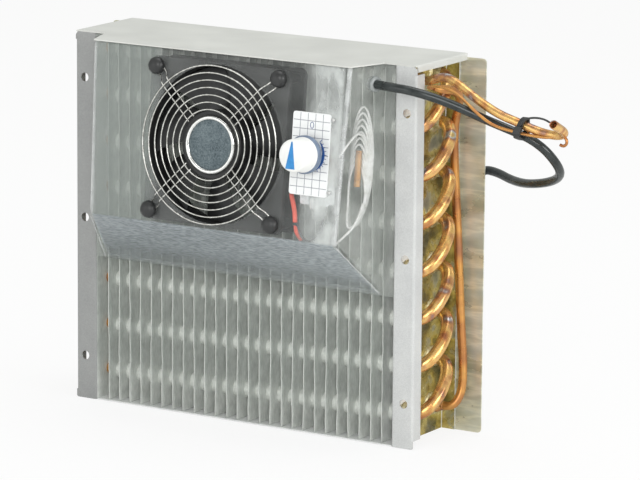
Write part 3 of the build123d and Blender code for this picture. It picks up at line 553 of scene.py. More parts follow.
def clear_slope():
    """The hood's sloping underside: the same plastic in grey, with fine level lines of painted reflection. It
    half hides the fins, and covers less towards its foot."""
    f = Finish("clear_slope", (0.42, 0.45, 0.46), roughness=0.4, Alpha=0.7)
    axes = f.axes()
    line = f.noise(0.7, 4, (7, 1, 1))
    cloud = f.noise(30, 4, (2, 1, 1))
    right = f.span(axes["X"], -0.04, 0.11)
    base = f.blend(right, (0.30, 0.335, 0.345), (0.46, 0.50, 0.51))
    # painted reflection: fine dark and light level lines across the slope
    f.colour(f.blend(0.5, base, f.ramp(line, (0.4, (0.17, 0.20, 0.215)), (0.6, (0.66, 0.70, 0.76)))))
    upper = f.span(axes["Z"], slope_foot + 0.004, slope_foot + 0.022)
    f.alpha(f.math("MULTIPLY_ADD", cloud, 0.24, f.math("MULTIPLY_ADD", upper, 0.4, 0.16), clamp=True))
    return f.roughness(cloud, 0.3, 0.5).mat


def clear_side():
    """The hood's side walls and foot strips: clear plastic with a grey haze in soft level bands."""
    f = Finish("clear_side", (0.60, 0.63, 0.60), roughness=0.2, Alpha=0.3)
    band = f.noise(18, 3, (3, 3, 1))
    f.colour(f.ramp(band, (0.35, (0.44, 0.47, 0.44)), (0.62, (0.72, 0.75, 0.72))))
    return f.alpha(f.math("MULTIPLY_ADD", f.noise(30, 4), 0.2, 0.06, clamp=True)).mat


def clear_painted_highlight():
    """Painted highlight on the hood's bends: a bright, patchy edge."""
    f = Finish("clear_painted_highlight", (0.84, 0.86, 0.86), roughness=0.25, Alpha=0.4)
    return f.alpha(f.math("MULTIPLY_ADD", f.noise(9, 4), 0.55, 0.02, clamp=True)).mat


def moulded_black(name, tone, shine):
    """Black moulded plastic with a fine tool grain."""
    f = Finish(name, toned(tone, 1, 1, 1.05), roughness=shine)
    grain = f.noise(0.8, 3)
    cloud = f.noise(9, 3)
    f.colour(f.ramp(cloud, (0.3, toned(tone, 0.7, 0.75, 0.75)), (0.7, toned(tone, 1.5, 1.55, 1.6))))
    return f.roughness(cloud, shine - 0.1, shine + 0.12).relief(grain, 0.03, 0.5).mat


def speckled_zinc():
    """Matt zinc with a crystalline speckle."""
    f = Finish("speckled_zinc", (0.22, 0.26, 0.28), metallic=0.5, roughness=0.5)
    speck = f.noise(1.1, 4, rough=0.7)
    cloud = f.noise(9, 4)
    f.colour(f.blend(0.5, f.ramp(speck, (0.38, (0.03, 0.05, 0.055)), (0.64, (0.24, 0.29, 0.31))),
                     f.ramp(cloud, (0.35, (0.04, 0.06, 0.075)), (0.7, (0.16, 0.20, 0.22)))))
    return f.roughness(cloud, 0.32, 0.5).relief(speck, 0.08, 0.5).mat


def steel(name, tone=0.6, shine=0.3):
    """Grey steel with marks drawn out along Z."""
    return mottled(name, toned(tone, 1, 1, 1), toned(tone, 0.8, 0.8, 0.8), toned(tone, 1.15, 1.15, 1.14),
                   (shine - 0.06, shine + 0.1), 1.2, metallic=0.95, roughness=shine, stretch=(1, 1, 6))


def scale_plate_print():
    """White plate ruled five columns by ten rows, in the plate's own plane."""
    f = Finish("scale_plate", (0.86, 0.87, 0.86), roughness=0.35)
    tilt = math.atan2(face_out[2], -face_out[1])
    middle = on_dial([[0, 0, 0]])[0]
    local = f.mapped(turn=(-tilt, 0, 0), centre=tuple(float(v) for v in middle))
    axes = f.axes(local)
    ink = None
    for axis, pitch, shift in (("X", plate_w / 5, 0.5), ("Z", plate_h / 10, 0.0)):
        step = f.math("MULTIPLY_ADD", axes[axis], 1 / (pitch * MM), 100.0 + shift)
        away = f.math("ABSOLUTE", f.math("SUBTRACT", f.math("FRACT", step), 0.5))
        line = f.math("GREATER_THAN", away, 0.5 - 0.24 / pitch)
        ink = line if ink is None else f.math("MAXIMUM", ink, line)
    for axis, half in (("X", plate_w / 2 - 0.6), ("Z", plate_h / 2 - 0.6)):
        inside = f.math("LESS_THAN", f.math("ABSOLUTE", axes[axis]), half * MM)
        ink = f.math("MULTIPLY", ink, inside)
    worn = f.noise(3, 3)
    ink = f.math("MULTIPLY", ink, f.math("MULTIPLY_ADD", worn, 0.5, 0.62, clamp=True))
    f.colour(f.blend(ink, (0.86, 0.87, 0.87), (0.16, 0.17, 0.22)))
    return f.mat


def plain(name, colour, roughness=0.4, metallic=0.0):
    """One colour that varies by about a sixth either way, in patches of four millimetres."""
    dark = toned(0.82, *colour)
    light = tuple(min(1, c) for c in toned(1.18, *colour))
    shine = (max(0.05, roughness - 0.06), roughness + 0.08)
    return mottled(name, colour, dark, light, shine, 4.0, 3, metallic, roughness)


plate_w, plate_h = 31.6, 59.5
MILL = mill_sheet()
CLEAR_SIDE = clear_side()
# painted shade: the left flange takes a darker copy (tone 0.48) of the flange paint
FLANGE_LEFT_PAINTED_SHADE = flange_paint("flange_sheet_left_painted_shade", 0.48)
# painted light: the flange paint made lighter (tone 1.2) for the tray, against the shade under the fins
TRAY_PAINTED_LIGHT = flange_paint("tray_sheet_painted_light", 1.2)
# painted light: the right flange takes a lighter copy (tone 0.9) of the same paint
FLANGE_RIGHT_PAINTED_LIGHT = flange_paint("flange_sheet_right_painted_light", 0.9)
SHEET_PAINTED_REFLECTION = sheet_painted_reflection()
LID = lid_paint()
POLISHED = polished_sheet()
FIN_PAINTED_LIGHT = fin_stock_painted_light()
EDGE = mottled("fin_edge", (0.78, 0.80, 0.77), (0.68, 0.70, 0.67), (0.84, 0.86, 0.82), (0.34, 0.5), 1.6,
               metallic=0.3, roughness=0.42)
COLLAR = mottled("fin_collar", (0.76, 0.78, 0.74), (0.68, 0.70, 0.66), (0.84, 0.86, 0.82), (0.5, 0.65), 2.4,
                 metallic=0.1, roughness=0.55)
COPPER = copper_heated()
FLAMED = copper_flamed()
BRAZE = braze_metal()
CLEAR = clear_plastic()
SLOPE = clear_slope()
CLEAR_PAINTED_HIGHLIGHT = clear_painted_highlight()
BLACK = moulded_black("frame_black", 0.014, 0.55)
KNOB_BLACK = moulded_black("knob_black", 0.02, 0.36)
NYLON = moulded_black("black_nylon", 0.028, 0.5)
BLADE = moulded_black("blade_black", 0.018, 0.5)
WIRE = mottled("bright_wire", (0.60, 0.60, 0.57), (0.42, 0.41, 0.38), (0.74, 0.74, 0.71), (0.14, 0.32), 2.4,
               metallic=0.9, roughness=0.24, top=0.65)
RIM = mottled("rotor_rim", (0.85, 0.85, 0.84), (0.74, 0.74, 0.72), (0.90, 0.90, 0.89), (0.06, 0.18), 2.2,
              metallic=1.0, roughness=0.1, top=0.65)
ZINC = speckled_zinc()
STEEL = steel("shaft_steel")
SWITCH = steel("switch_case", 0.55, 0.36)
WHITE = mottled("white_plastic", (0.84, 0.84, 0.82), (0.80, 0.80, 0.78), (0.87, 0.87, 0.86), (0.26, 0.38),
                12, 3, roughness=0.32)
BLUE = mottled("pointer_blue", (0.02, 0.22, 0.55), (0.015, 0.19, 0.50), (0.03, 0.27, 0.62), (0.4, 0.4),
               4, 3, roughness=0.4)
NAVY = plain("print_navy", (0.02, 0.05, 0.22), 0.4)
PRINT = scale_plate_print()
JACKET = mottled("cable_jacket", (0.02, 0.022, 0.024), (0.012, 0.016, 0.016), (0.035, 0.042, 0.042),
                 (0.14, 0.26), 7, 3, roughness=0.34)
GROMMET = plain("grommet_grey", (0.30, 0.32, 0.32), 0.22)
SENSOR = plain("sensor_tube", (0.95, 0.95, 0.92), 0.3)
LEAD_RED = plain("lead_red", (0.80, 0.10, 0.06), 0.4)
LEAD_BLACK = plain("lead_black", (0.03, 0.03, 0.035), 0.45)
SOCKET = plain("socket_white", (0.78, 0.80, 0.82), 0.4)
CORE_BLUE = plain("core_blue", (0.03, 0.12, 0.45), 0.4)
SCALE_BLUE = plain("scale_blue", (0.03, 0.11, 0.36), 0.4)
# painted shade: dark grey-blue for the knob's side wall, which lies in shadow
KNOB_PAINTED_SHADE = plain("knob_skirt_painted_shade", (0.16, 0.21, 0.30), 0.4)
CORE_BROWN = plain("core_brown", (0.22, 0.10, 0.04), 0.4)
CORE_GREEN = plain("core_green_yellow", (0.30, 0.45, 0.05), 0.4)
TIN = plain("ferrule_tin", (0.70, 0.70, 0.72), 0.3, 0.9)
CORE_IRON = plain("stator_core", (0.16, 0.14, 0.13), 0.5, 0.4)
BRONZE = plain("sintered_bronze", (0.50, 0.36, 0.18), 0.5, 0.8)


# ---------------------------------------------------------------- cable

cable_d = 6.5
front_mm = front / MM
coil_centre = ((low_high("cable_coil")[0] + low_high("cable_coil")[1]) / 2 / MM)[:2]
cable_route = [
    (114.2, front_mm - 7.1, 265.4), (133.6, front_mm - 13.2, 265.4), (149, front_mm - 14.5, 265),
    (166, front_mm - 9.5, 261), (182, front_mm - 1.4, 254.4), (198, front_mm + 4.8, 247.2),
    (215, front_mm + 7.6, 241.6), (234, front_mm + 8.2, 236.3), (244.5, front_mm + 12.2, 228.8),
    (249, front_mm + 20, 219.2), (248, front_mm + 31, 209.6), (240, front_mm + 41, 202.4),
    (227, front_mm + 50, 197), (212, front_mm + 58.5, 193.0), (197, front_mm + 68, 190.2),
    (181, front_mm + 78, 189.6), (165, front_mm + 86.5, 192.0), (150, front_mm + 90.5, 192.4),
    (139, front_mm + 91.5, 177), (132, front_mm + 92, 158), (128.5, front_mm + 92.6, 134),
    (127, front_mm + 93.2, 110), (125.5, front_mm + 94, 86), (123, front_mm + 94.8, 63),
    (119, front_mm + 95.4, 43), (112.5, front_mm + 95.8, 25), (102, front_mm + 96, 11.5),
    (88, front_mm + 95.4, 4.6), (74, front_mm + 93.6, 3.4),
]
cable_tail = [(12.4, 110, 8.6), (12.6, 119, 5.2), (13.6, 130, 3.4), (16.5, 140, 3.4)]


def coil_turns():
    """Coil of 3.3 turns in four lays, two wide and two high: the angle runs back at an even rate, while
    radius and height hold for most of a lay and step to the next one over its last seventh."""
    start, total, per_turn = -62.0, 1190.0, 16
    count = int(total / 360 * per_turn) + 1
    s = np.linspace(0, 1, count)
    angle = np.radians(start - total * s)
    lay_r = np.array([39.9, 33.2, 33.2, 39.9])
    lay_z = np.array([3.4, 3.4, 9.9, 9.9])
    place = np.clip((s * 4 - np.floor(np.clip(s * 4, 0, 3.999)) - 0.86) / 0.14, 0, 1)
    lay = np.minimum(np.floor(s * 4).astype(int), 3)
    following = np.minimum(lay + 1, 3)
    radius = lay_r[lay] * (1 - place) + lay_r[following] * place
    height = lay_z[lay] * (1 - place) + lay_z[following] * place
    x = coil_centre[0] + radius * np.cos(angle)
    y = coil_centre[1] + radius * np.sin(angle)
    return [tuple(p) for p in np.stack([x, y, height], axis=1)]


def make_cable():
    """Cable from the grommet to its stripped end, as one spline, and the pieces on it."""
    points = cable_route + coil_turns() + cable_tail
    curve = bpy.data.curves.new("cable", "CURVE")
    spline = add_spline(curve, points)
    spline.resolution_u = 8
    curve.bevel_depth = cable_d / 2 * MM
    curve.bevel_resolution = 5
    curve.use_fill_caps = True
    curve.materials.append(JACKET)
    cable = bpy.data.objects.new("cable", curve)
    scene.collection.objects.link(cable)
    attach(cable, "case")
    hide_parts("power_cable", "cable_coil", "cable_tail")
    line = flow(points, 8)
    length = float(np.linalg.norm(np.diff(line, axis=0), axis=1).sum())
    return cable, line, length


# ---------------------------------------------------------------- coil

def bend_path(a, b, reach, power, count):
    """Bend on the line from a to b, out along X: middle + arm cos t + reach times sin t to a power."""
    a, b = np.asarray(a, float), np.asarray(b, float)
    t = np.linspace(0, np.pi, count)[:, None]
    bulge = np.array([reach, 0, 0]) * np.sin(t) ** power
    return (a + b) / 2 + (a - b) / 2 * np.cos(t) + bulge


def make_coil():
    """Level hairpins through the fins, crossover bends, and the bells and cuffs of braze at the tube ends."""
    bend_reach, top_reach = 15.5 * MM, 11.5 * MM
    half = (rows[1] - rows[0]) / 2
    left = float(pins_low[0]) + half + tube_r
    pins, bends = [], []
    for z in levels:
        ring = bend_path((left, rows[0], z), (left, rows[1], z), -half, 1, 24)
        path = np.concatenate([[(tube_end, rows[0], z)], ring, [(tube_end, rows[1], z)]])
        pins.append(tube(path, tube_r, 20))
    piece("hairpins", *join(pins), COPPER, stands_for=("hairpin_tubes",))
    for z, z_up in zip(levels, levels[1:]):
        reach = top_reach if z_up == levels[-1] else bend_reach
        path = bend_path((tube_end, rows[0], z), (tube_end, rows[1], z_up), reach, 0.85, 30)
        bends.append(tube(path, tube_r * 0.98, 24))
    piece("crossover_bends", *join(bends), FLAMED, stands_for=("return_bends",))
    bell = [(4.8, -3.2), (6.0, -3.2), (6.1, -1.2), (5.7, 0.2), (5.1, 1.4), (4.8, 2.2)]
    cuff = [(4.8, -5.4), (8.8, -5.4), (8.4, -4.2), (6.6, -3.6), (5.6, -2.6), (4.8, -2.4)]
    braze = [turned(profile, 20, along_x(tube_end, y, z))
             for y in rows for z in levels for profile in (bell, cuff)]
    piece("brazed_cuffs", *join(braze), BRAZE)


def along_x(x, y, z):
    """Turned piece laid along X: its axis runs through (x, y, z)."""
    def place(p):
        """Places with the turned height along X."""
        p = np.asarray(p, float)
        return np.stack([x + p[..., 2], y + p[..., 0], z + p[..., 1]], axis=-1)
    return place


def make_lines():
    """Suction line with its cup, riser with a pinched top, and the capillary, on smooth routes."""
    f = front_mm
    x0 = tube_end / MM + 6
    suction = [
        (x0, f + 18, 266.5), (147, f + 18, 266.5), (154, f + 17.6, 269.8), (163, f + 16.2, 271.4),
        (174.5, f + 13, 267.6), (187.1, f + 9, 261.8), (201.6, f + 5, 255.8), (215.5, f + 1.6, 251.2),
        (230, f, 247.9), (241, f - 0.3, 244.6), (252, f - 1, 242.4), (262, f - 2, 242.0),
        (268.5, f - 3.6, 243.4), (270.6, f - 7, 246.4), (271, f - 14, 249.5),
    ]
    riser = [
        (x0, f + 53, 21.5), (147, f + 53, 21.5), (151.5, f + 56, 25), (153.6, f + 60, 34),
        (153.0, f + 62, 52), (150.5, f + 62.6, 78), (148.6, f + 62.6, 108), (146.4, f + 62.6, 150),
        (143.0, f + 62.6, 195), (142.4, f + 62, 228), (148.5, f + 58, 244), (154.6, f + 48.6, 253.6),
        (155.4, f + 38, 258), (152.5, f + 29, 260), (148.5, f + 22, 260.8),
    ]
    capillary = [
        (148.6, f + 24, 260.7), (147.6, f + 15, 262), (152, f + 8.6, 264.6), (164.4, f + 6.5, 266),
        (175.5, f + 5, 263.4), (186, f + 1.4, 258.6), (198.5, f - 2.2, 251.2), (212, f - 2.6, 243.8),
        (229, f - 2.6, 241.4), (242, f - 3.4, 240.4), (254, f - 4, 240.0), (262, f - 4, 241.6),
        (267.4, f - 4, 242.6), (271.4, f - 4.4, 241), (271.8, f - 4.8, 237.4), (269, f - 5, 235.4),
        (266.6, f - 5, 236.6),
    ]
    line_r, bore_r, chamfer = 3.175 * MM, 2.375 * MM, 0.25 * MM
    path = flow(suction)
    tip = path[-1] - path[-2]
    tip /= np.linalg.norm(tip)
    path = np.concatenate([path, path[-1] + tip * np.array([[6.0], [11.2], [12.0]]) * MM])
    radius = np.full(len(path), line_r)
    radius[-1] = line_r - chamfer
    outside = tube(path, radius, 24, capped=False)
    inner = path[-1:] - tip * np.array([[0.0], [0.5], [6.0], [12.0]]) * MM
    inside_r = np.array([line_r - chamfer, bore_r, bore_r, bore_r])
    inside = tube(inner, inside_r, 24, capped=False)
    plug = tube(inner[-1:] + tip * np.array([[0.0], [-0.2]]) * MM, bore_r, 24)
    piece("suction_pipe", *join([outside, inside, plug]), FLAMED, stands_for=("suction_line",))
    path = flow(riser)
    steps = np.linspace(0, 1, len(path))
    pinch = np.clip((steps - 0.965) / 0.035, 0, 1)
    piece("riser_pipe", *tube(path, line_r * (1 - 0.45 * pinch), 20), COPPER, stands_for=("riser_line",))
    piece("capillary_pipe", *tube(flow(capillary), 1.1 * MM, 12), COPPER, stands_for=("capillary_tube",))
    bell = [(4.76, -1.0), (5.4, -1.0), (5.5, 1.2), (4.9, 3.0), (3.8, 4.6), (3.5, 6.0), (3.6, 6.6), (3.1, 7.2)]
    open_ends = ((rows[0], levels[-1]), (rows[1], levels[0]))
    cones = [turned(bell, 20, along_x(tube_end, y, z)) for y, z in open_ends]
    piece("reducer_cups", *join(cones), FLAMED, stands_for=("tube_reducers",))


# ---------------------------------------------------------------- fin pack

def make_fins():
    """Each fin is a sheet x = x0 + ripple(z), strongest in front, with a hemmed front edge; a collar along
    each tube flares at every fin."""
    fin_count, half_thick = 26, 0.16 * MM
    ripples = ((0.22, 58, 1.0), (0.14, 171, 1.7), (0.1, 420, 3.0))
    x0s = np.linspace(fins_low[0] + 0.2 * MM, fins_high[0] - 0.2 * MM, fin_count)
    depth = (fins_high[1] - fins_low[1]) / MM
    y = np.concatenate([[0, 0.45], np.linspace(1.2, depth - 1.2, 6), [depth]]) * MM + fins_low[1]
    z = np.linspace(fins_low[2] - 1.2 * MM, fins_high[2], 60)
    yy, zz = np.meshgrid(y, z, indexing="ij")
    near = np.clip(1 - (yy - fins_low[1]) / 0.03, 0, 1)
    sheets, hems = [], []
    for i, x0 in enumerate(x0s):
        phase = 2.4 * i
        wave = sum(height * np.sin(zz * rate + phase * share) for height, rate, share in ripples)
        x = x0 + wave * MM * near
        side = np.stack([x - half_thick, yy, zz], axis=-1)
        other = np.stack([x + half_thick, yy, zz], axis=-1)
        loop = np.concatenate([side, other[::-1]], axis=0)
        sheets.append((loop.reshape(-1, 3), grid_faces(*loop.shape[:2], wrap_u=True)))
        rim = np.stack([x[0], yy[0] + 0.05 * MM, zz[0]], axis=-1)
        hems.append(tube(rim, 0.23 * MM, 6))
    piece("fin_sheets", *join(sheets), FIN_PAINTED_LIGHT, stands_for=("fins",), sharp=40)
    piece("fin_edges", *join(hems), EDGE)
    pitch = (x0s[-1] - x0s[0]) / (fin_count - 1)
    along = np.arange(-0.6, fin_count, 0.125)
    part = along - np.floor(along)
    flare = 5.0 + 1.8 * np.exp(-part / 0.3) + 0.6 * np.exp(-(1 - part) / 0.12)
    x = x0s[0] + along * pitch
    keep = (x > -tube_sheet + 1 * MM) & (x < tube_sheet - 2 * MM)
    profile = np.stack([flare[keep], x[keep] / MM], axis=1)
    collars = [turned(profile, 18, along_x(0.0, yv, zv)) for yv in rows for zv in levels]
    piece("fin_collars", *join(collars), COLLAR)


# ---------------------------------------------------------------- fan

def make_guard():
    """Concentric wire rings on double radial legs that bend back round each fixing."""
    wire, rise, low = 0.52, 7.65, 0.72
    parts = [turned(arc((r, rise), wire, 0, -360, 11), 96) for r in 57.4 - 5.3 * np.arange(7)]
    leg = [(24.2, 2.9, rise - 1.3), (40, 2.9, rise - 1.3), (56, 2.9, rise - 1.3), (60.5, 2.9, rise - 1.3),
           (64.5, 2.9, low + 1.2), (69, 2.9, low), (74.2, 2.9, low), (77.6, 2.9, low), (78.2, 0, low)]
    legs = leg + [(x, -y, z) for x, y, z in reversed(leg[:-1])]
    for quarter in range(4):
        a = math.radians(45 + 90 * quarter)
        turn = np.array([[math.cos(a), -math.sin(a)], [math.sin(a), math.cos(a)]])
        line = flow(legs, 8)
        line[:, :2] = line[:, :2] @ turn.T
        parts.append(tube(on_face(line), wire * MM, 8))
    piece("wire_guard", *join(parts), WIRE, stands_for=("fan_guard",))


fixings = [(x, y) for x in (-52.5, 52.5) for y in (-52.5, 52.5)]


def make_knobs():
    """Domed black screw heads with a narrow neck in the guard's eye, on screws right through the frame."""
    profile = [(0.01, 7.4), (1.2, 7.35), (2.7, 7.05), (4.1, 6.4), (5.3, 5.4), (6.05, 4.2), (6.45, 2.9),
               (6.5, 1.9), (6.1, 1.5), (3.2, 1.46), (2.0, 1.45), (2.0, -26.5), (0.01, -27.2)]
    parts = [turned(profile, 28, centre=(x * MM, y * MM)) for x, y in fixings]
    piece("guard_fixings", *join(parts), KNOB_BLACK, stands_for=("guard_knobs",), sharp=60)


def make_rotor():
    """Impeller with cambered blades, the steel cup with its rolled rim, and the shaft."""
    z, blades, root, reach = 6.8, 7, 24.7, 32.0
    top, low, middle = z - 2.6, z - 27.5, -13.8
    hub = [(21.5, low), (21.5, top), (22.2, top + 0.4), (24.4, top + 0.4), (25.2, top - 0.5), (25.2, low),
           (21.5, low)]
    parts = [turned(hub[::-1], 72)]
    section = np.linspace(0, 2 * np.pi, 40, endpoint=False)
    chord = 0.5 - 0.5 * np.cos(section)
    skin = 0.85 * np.sin(section) * (0.5 + 0.5 * np.sin(section) ** 2)
    span = np.linspace(0, 1, 14)
    for k in range(blades):
        r = root + reach * span[:, None]
        wide = np.radians(39.5 + 2.0 * span[:, None])
        sweep = np.radians(10.0) * span[:, None] ** 1.4
        lift = 11.8 + 1.4 * span[:, None]
        camber = 1.6 * np.sin(np.pi * chord)[None, :]
        t = 2 * np.pi * k / blades + 0.12 + sweep + wide * (chord[None, :] - 0.5)
        height = middle + lift * (chord[None, :] - 0.5) + camber - 0.8 + skin[None, :]
        grid = np.stack([r * np.cos(t), r * np.sin(t), height + 0 * r], axis=-1) * MM
        verts = on_face(grid.reshape(-1, 3))
        faces = grid_faces(len(span), len(section), wrap_v=True)[:, ::-1].tolist()
        last = (len(span) - 1) * len(section)
        faces.append([last + i for i in range(len(section))][::-1])
        faces.append(list(range(len(section))))
        parts.append((verts, faces))
    piece("impeller", *join(parts), BLADE, "fan rotor", ("fan_impeller",), sharp=40)
    rim = [(18.1, z - 0.9)] + arc((19.6, z - 1.2), 1.5, 160, 20, 9) + [
        (21.35, z - 2.2), (21.4, z - 4), (21.4, low), (20.3, low), (20.3, z - 3)]
    piece("rotor_cup_rim", *turned(rim[::-1], 96), RIM, "fan rotor", ("rotor_cup",), sharp=60)
    disc = [(0.01, z - 0.75), (6, z - 0.75), (14, z - 0.78), (17.4, z - 0.85), (18.2, z - 1.1),
            (18.4, z - 2.6), (0.01, z - 2.7)]
    piece("rotor_cup_face", *turned(disc[::-1], 96), ZINC, "fan rotor", sharp=60)
    shaft = [(0.01, 6.0), (2.0, 6.0), (2.0, -25.4), (1.7, -25.7), (0.01, -25.7)]
    piece("shaft", *turned(shaft[::-1], 32), STEEL, "fan rotor", ("rotor_shaft",), sharp=60)


def make_fan_frame():
    """Square frame: one closed skin of rings between a rounded square and the round duct, with a motor
    plate on four stays and a post at each fixing."""
    t = np.linspace(0, 2 * np.pi, 160, endpoint=False)
    half, corner = 59.5, 5.0
    z0, z1 = -1.25, -26.2
    square = rounded_square(t, half, corner)

    def ring(radius, z):
        """Circle at a height."""
        return level_line(radius, t, z)

    def edge(inset, z):
        """The square's outline at a height, drawn in."""
        return np.concatenate([square * (1 - inset / half), np.full((len(t), 1), z)], axis=1)

    verts, faces = skin([
        edge(0, z0 - 0.5), edge(0.4, z0), ring(58.6, z0), ring(57.9, z0 - 0.5), ring(57.6, z0 - 1.6),
        ring(57.6, z1 + 3), ring(58.2, z1 + 1), ring(59.0, z1), edge(0.4, z1), edge(0, z1 + 0.5),
        edge(0, z1 + 3.6), ring(59.1, z1 + 3.8), ring(59.1, z0 - 3.8), edge(0, z0 - 3.6)])
    parts = [(on_face(verts * MM), faces[:, ::-1])]
    plate = [(6.3, z1 + 12), (6.3, z1 + 3), (21, z1 + 2.8), (22, z1 + 2), (22, z1), (4.5, z1), (4.5, z1 + 12),
             (6.3, z1 + 12)]
    parts.append(turned(plate[::-1], 48))
    for k in range(4):
        a = math.radians(35 + 90 * k)
        line = np.array([[r * math.cos(a), r * math.sin(a), z1 + 1.4] for r in (20, 32, 45, 58.6)]) * MM
        parts.append(tube(on_face(line), np.array([2.2, 2.0, 2.0, 2.4]) * MM, 10))
    post = [(3.9, z0 - 3), (3.9, z1 + 3)]
    parts += [turned(post, 20, centre=(x * MM, y * MM)) for x, y in fixings]
    piece("fan_housing", *join(parts), BLACK, stands_for=("fan_frame",), sharp=40)


def rounded_square(t, half, corner):
    """Unit directions scaled to the edge of a square whose corners are rounded."""
    x, y = np.cos(t), np.sin(t)
    reach = half / np.maximum(np.abs(x), np.abs(y))
    px, py = x * reach, y * reach
    cx, cy = np.sign(px) * (half - corner), np.sign(py) * (half - corner)
    out = (np.abs(px) > half - corner) & (np.abs(py) > half - corner)
    dx, dy = px - cx, py - cy
    length = np.hypot(dx, dy) + 1e-9
    px = np.where(out, cx + dx / length * corner, px)
    py = np.where(out, cy + dy / length * corner, py)
    return np.stack([px, py], axis=-1)


# ---------------------------------------------------------------- thermostat

def make_dial():
    """Knob with a flat front and a rolled skirt in a dark grey-blue of painted shade, its blue wedge, and on
    the plate the printed scale arc, its zero and the screws."""
    z0, z1, skirt_top = 6.5, 24.0, 4.4
    knob = [(0.01, z1), (10.2, z1), (11.2, z1 - 0.25), (11.7, z1 - 1.0), (12.4, z0 + 5.6), (12.7, z0 + 4.3),
            (13.4, z0 + 3.6), (13.8, z0 + 2.6), (13.8, z0 + 0.5), (13.4, z0), (11.8, z0), (11.8, z0 + 1.5),
            (5, z0 + 1.6), (5, z0), (3, z0), (3, z0 + 5.8), (0.01, z0 + 5.9)]
    cap = piece("dial_knob", *turned(knob, 96, on_dial), WHITE, "thermostat knob", ("thermostat_knob",),
                sharp=50)
    seat = on_dial([[0, 0, 0]])[0]
    shade_top = (z0 + skirt_top) * MM
    # painted shade: faces of the knob below the skirt's top take the dark grey-blue
    tint_faces(cap, [KNOB_PAINTED_SHADE], lambda face: np.dot(np.array(face.center) - seat, face_out) < shade_top)
    verts, faces = prism([(-5.4, -9.7), (2.4, -9.7), (-0.5, 9.9), (-1.6, 9.9)], z1 + 0.06, z1 - 0.4)
    piece("dial_pointer", on_dial(verts * MM), faces, BLUE, "thermostat knob", smooth=False)
    sheet = 0.84
    under, over, outer = sheet - 0.2, sheet + 0.03, 12.4
    t = np.radians(np.linspace(52, -118, 60))
    inner = outer - 3.0 * np.sin(np.linspace(0.05, np.pi * 0.72, 60)) ** 0.7
    loop = [level_line(r, t, z) for r, z in ((inner, under), (inner, over), (outer, over), (outer, under))]
    marks = [(np.stack(loop).reshape(-1, 3), grid_faces(4, len(t), wrap_u=True))]
    marks += [tick(angle, 12.3, 13.9 if angle < 40 else 15.0, over, under) for angle in range(50, -60, -12)]
    verts, faces = join(marks)
    piece("scale_arc", on_dial(verts * MM), faces, SCALE_BLUE, smooth=False)
    s = np.linspace(0, 2 * np.pi, 32, endpoint=False)
    verts, faces = skin([
        np.stack([0.4 + rx * np.cos(s), 20.8 + ry * np.sin(s), np.full(32, z)], axis=-1)
        for rx, ry, z in ((1.15, 2.0, under), (1.15, 2.0, over), (1.6, 2.45, over), (1.6, 2.45, under))])
    piece("scale_zero", on_dial(verts * MM), faces, NAVY, smooth=False)
    head = [(0.01, 1.5), (0.9, 1.45), (1.4, 1.15), (1.5, 0.85), (1.5, 0.1), (0.01, 0.1)]
    screws = [turned(head[::-1], 20, on_dial, (17.6 * MM, y * MM)) for y in (26.0, -26.0)]
    piece("plate_screws", *join(screws), STEEL, sharp=50)


def tick(angle, start, stop, over, under):
    """Short radial stroke of the printed scale."""
    a = math.radians(angle)
    d, n = np.array([math.cos(a), math.sin(a)]), np.array([-math.sin(a), math.cos(a)]) * 0.22
    return prism([d * start - n, d * stop - n, d * stop + n, d * start + n], over, under)


def make_capillary_loops():
    """Spare sensing tube: ten long narrow loops, each an ellipse. They share their outer side and lower
    end; their tops step down from turn to turn, and their lower halves lean inwards."""
    turns, per = 10, 16
    s = np.arange(turns * per + 1) / per
    a = 2 * np.pi * s
    drift = s / turns
    half = 9.4 - 2.6 * drift
    x = 113.2 - 1.8 * drift - half + half * np.cos(a) - 6.0 * np.clip(-np.sin(a), 0, 1) ** 2
    up = -7 - 22.5 * drift + (45 - 22.5 * drift) * np.sin(a)
    z = -35 + 6.5 * drift + 2.5 * np.sin(a)
    lead = [(98, 0, -12), (101, 8, -16), (106, 22, -28)]
    tail = [(108, -46, -26), (104, -54, -22), (98, -62, -16)]
    points = lead + list(zip(x, up, z)) + tail
    line = flow(points, 4)
    piece("sensor_loops", *tube(on_face(line), 0.9 * MM, 8), SENSOR, stands_for=("thermostat_capillary",))


def make_leads():
    """Red lead in two stretches with a dark splice between them, and the thin dark lead's loop below."""
    first = [(59.8, -28, -14), (62, -28.5, -9), (65, -31, -5), (67.5, -37, -4.4), (69, -43, -4.4),
             (69.5, -49, -4.6)]
    second = [(70, -51, -5), (70, -55, -5.6), (71.4, -58.5, -7), (72.6, -61.5, -9.5)]
    dark = [(71, -50, -5), (74, -59, -6), (80, -63, -7), (87, -58, -8), (89, -50, -9.6), (88.6, -42, -11.7)]
    red = [tube(on_face(flow(p, 8)), 1.7 * MM, 14) for p in (first, second)]
    piece("red_leads", *join(red), LEAD_RED, stands_for=("fan_leads",))
    splice = tube(on_face(flow([(67.5, -50, -4.8), (72, -50.5, -4.8)], 4)), 1.6 * MM, 12)
    piece("dark_lead", *join([tube(on_face(flow(dark, 8)), 0.9 * MM, 10), splice]), LEAD_BLACK)


def make_sockets():
    """Terminal housing as two milky blocks on a thin back, with the bright blades between them."""
    low, high = low_high("terminal_block")
    centre = (low + high) / 2 / MM
    blocks = [box_form(centre + (x, 0, 0), (7.2, 12.0, 13.6)) for x in (-7.6, 7.6)]
    blocks.append(box_form(centre + (0, 3.0, 1.0), (22.0, 5.0, 11.0)))
    piece("socket_blocks", *join(blocks), SOCKET, stands_for=("terminal_block",), sharp=50)
    blades = [box_form(centre + (x, -3.4, -5.6), (3.6, 1.0, 8.0), 0.12) for x in (-2.2, 2.6)]
    piece("socket_blades", *join(blades), STEEL, sharp=50)


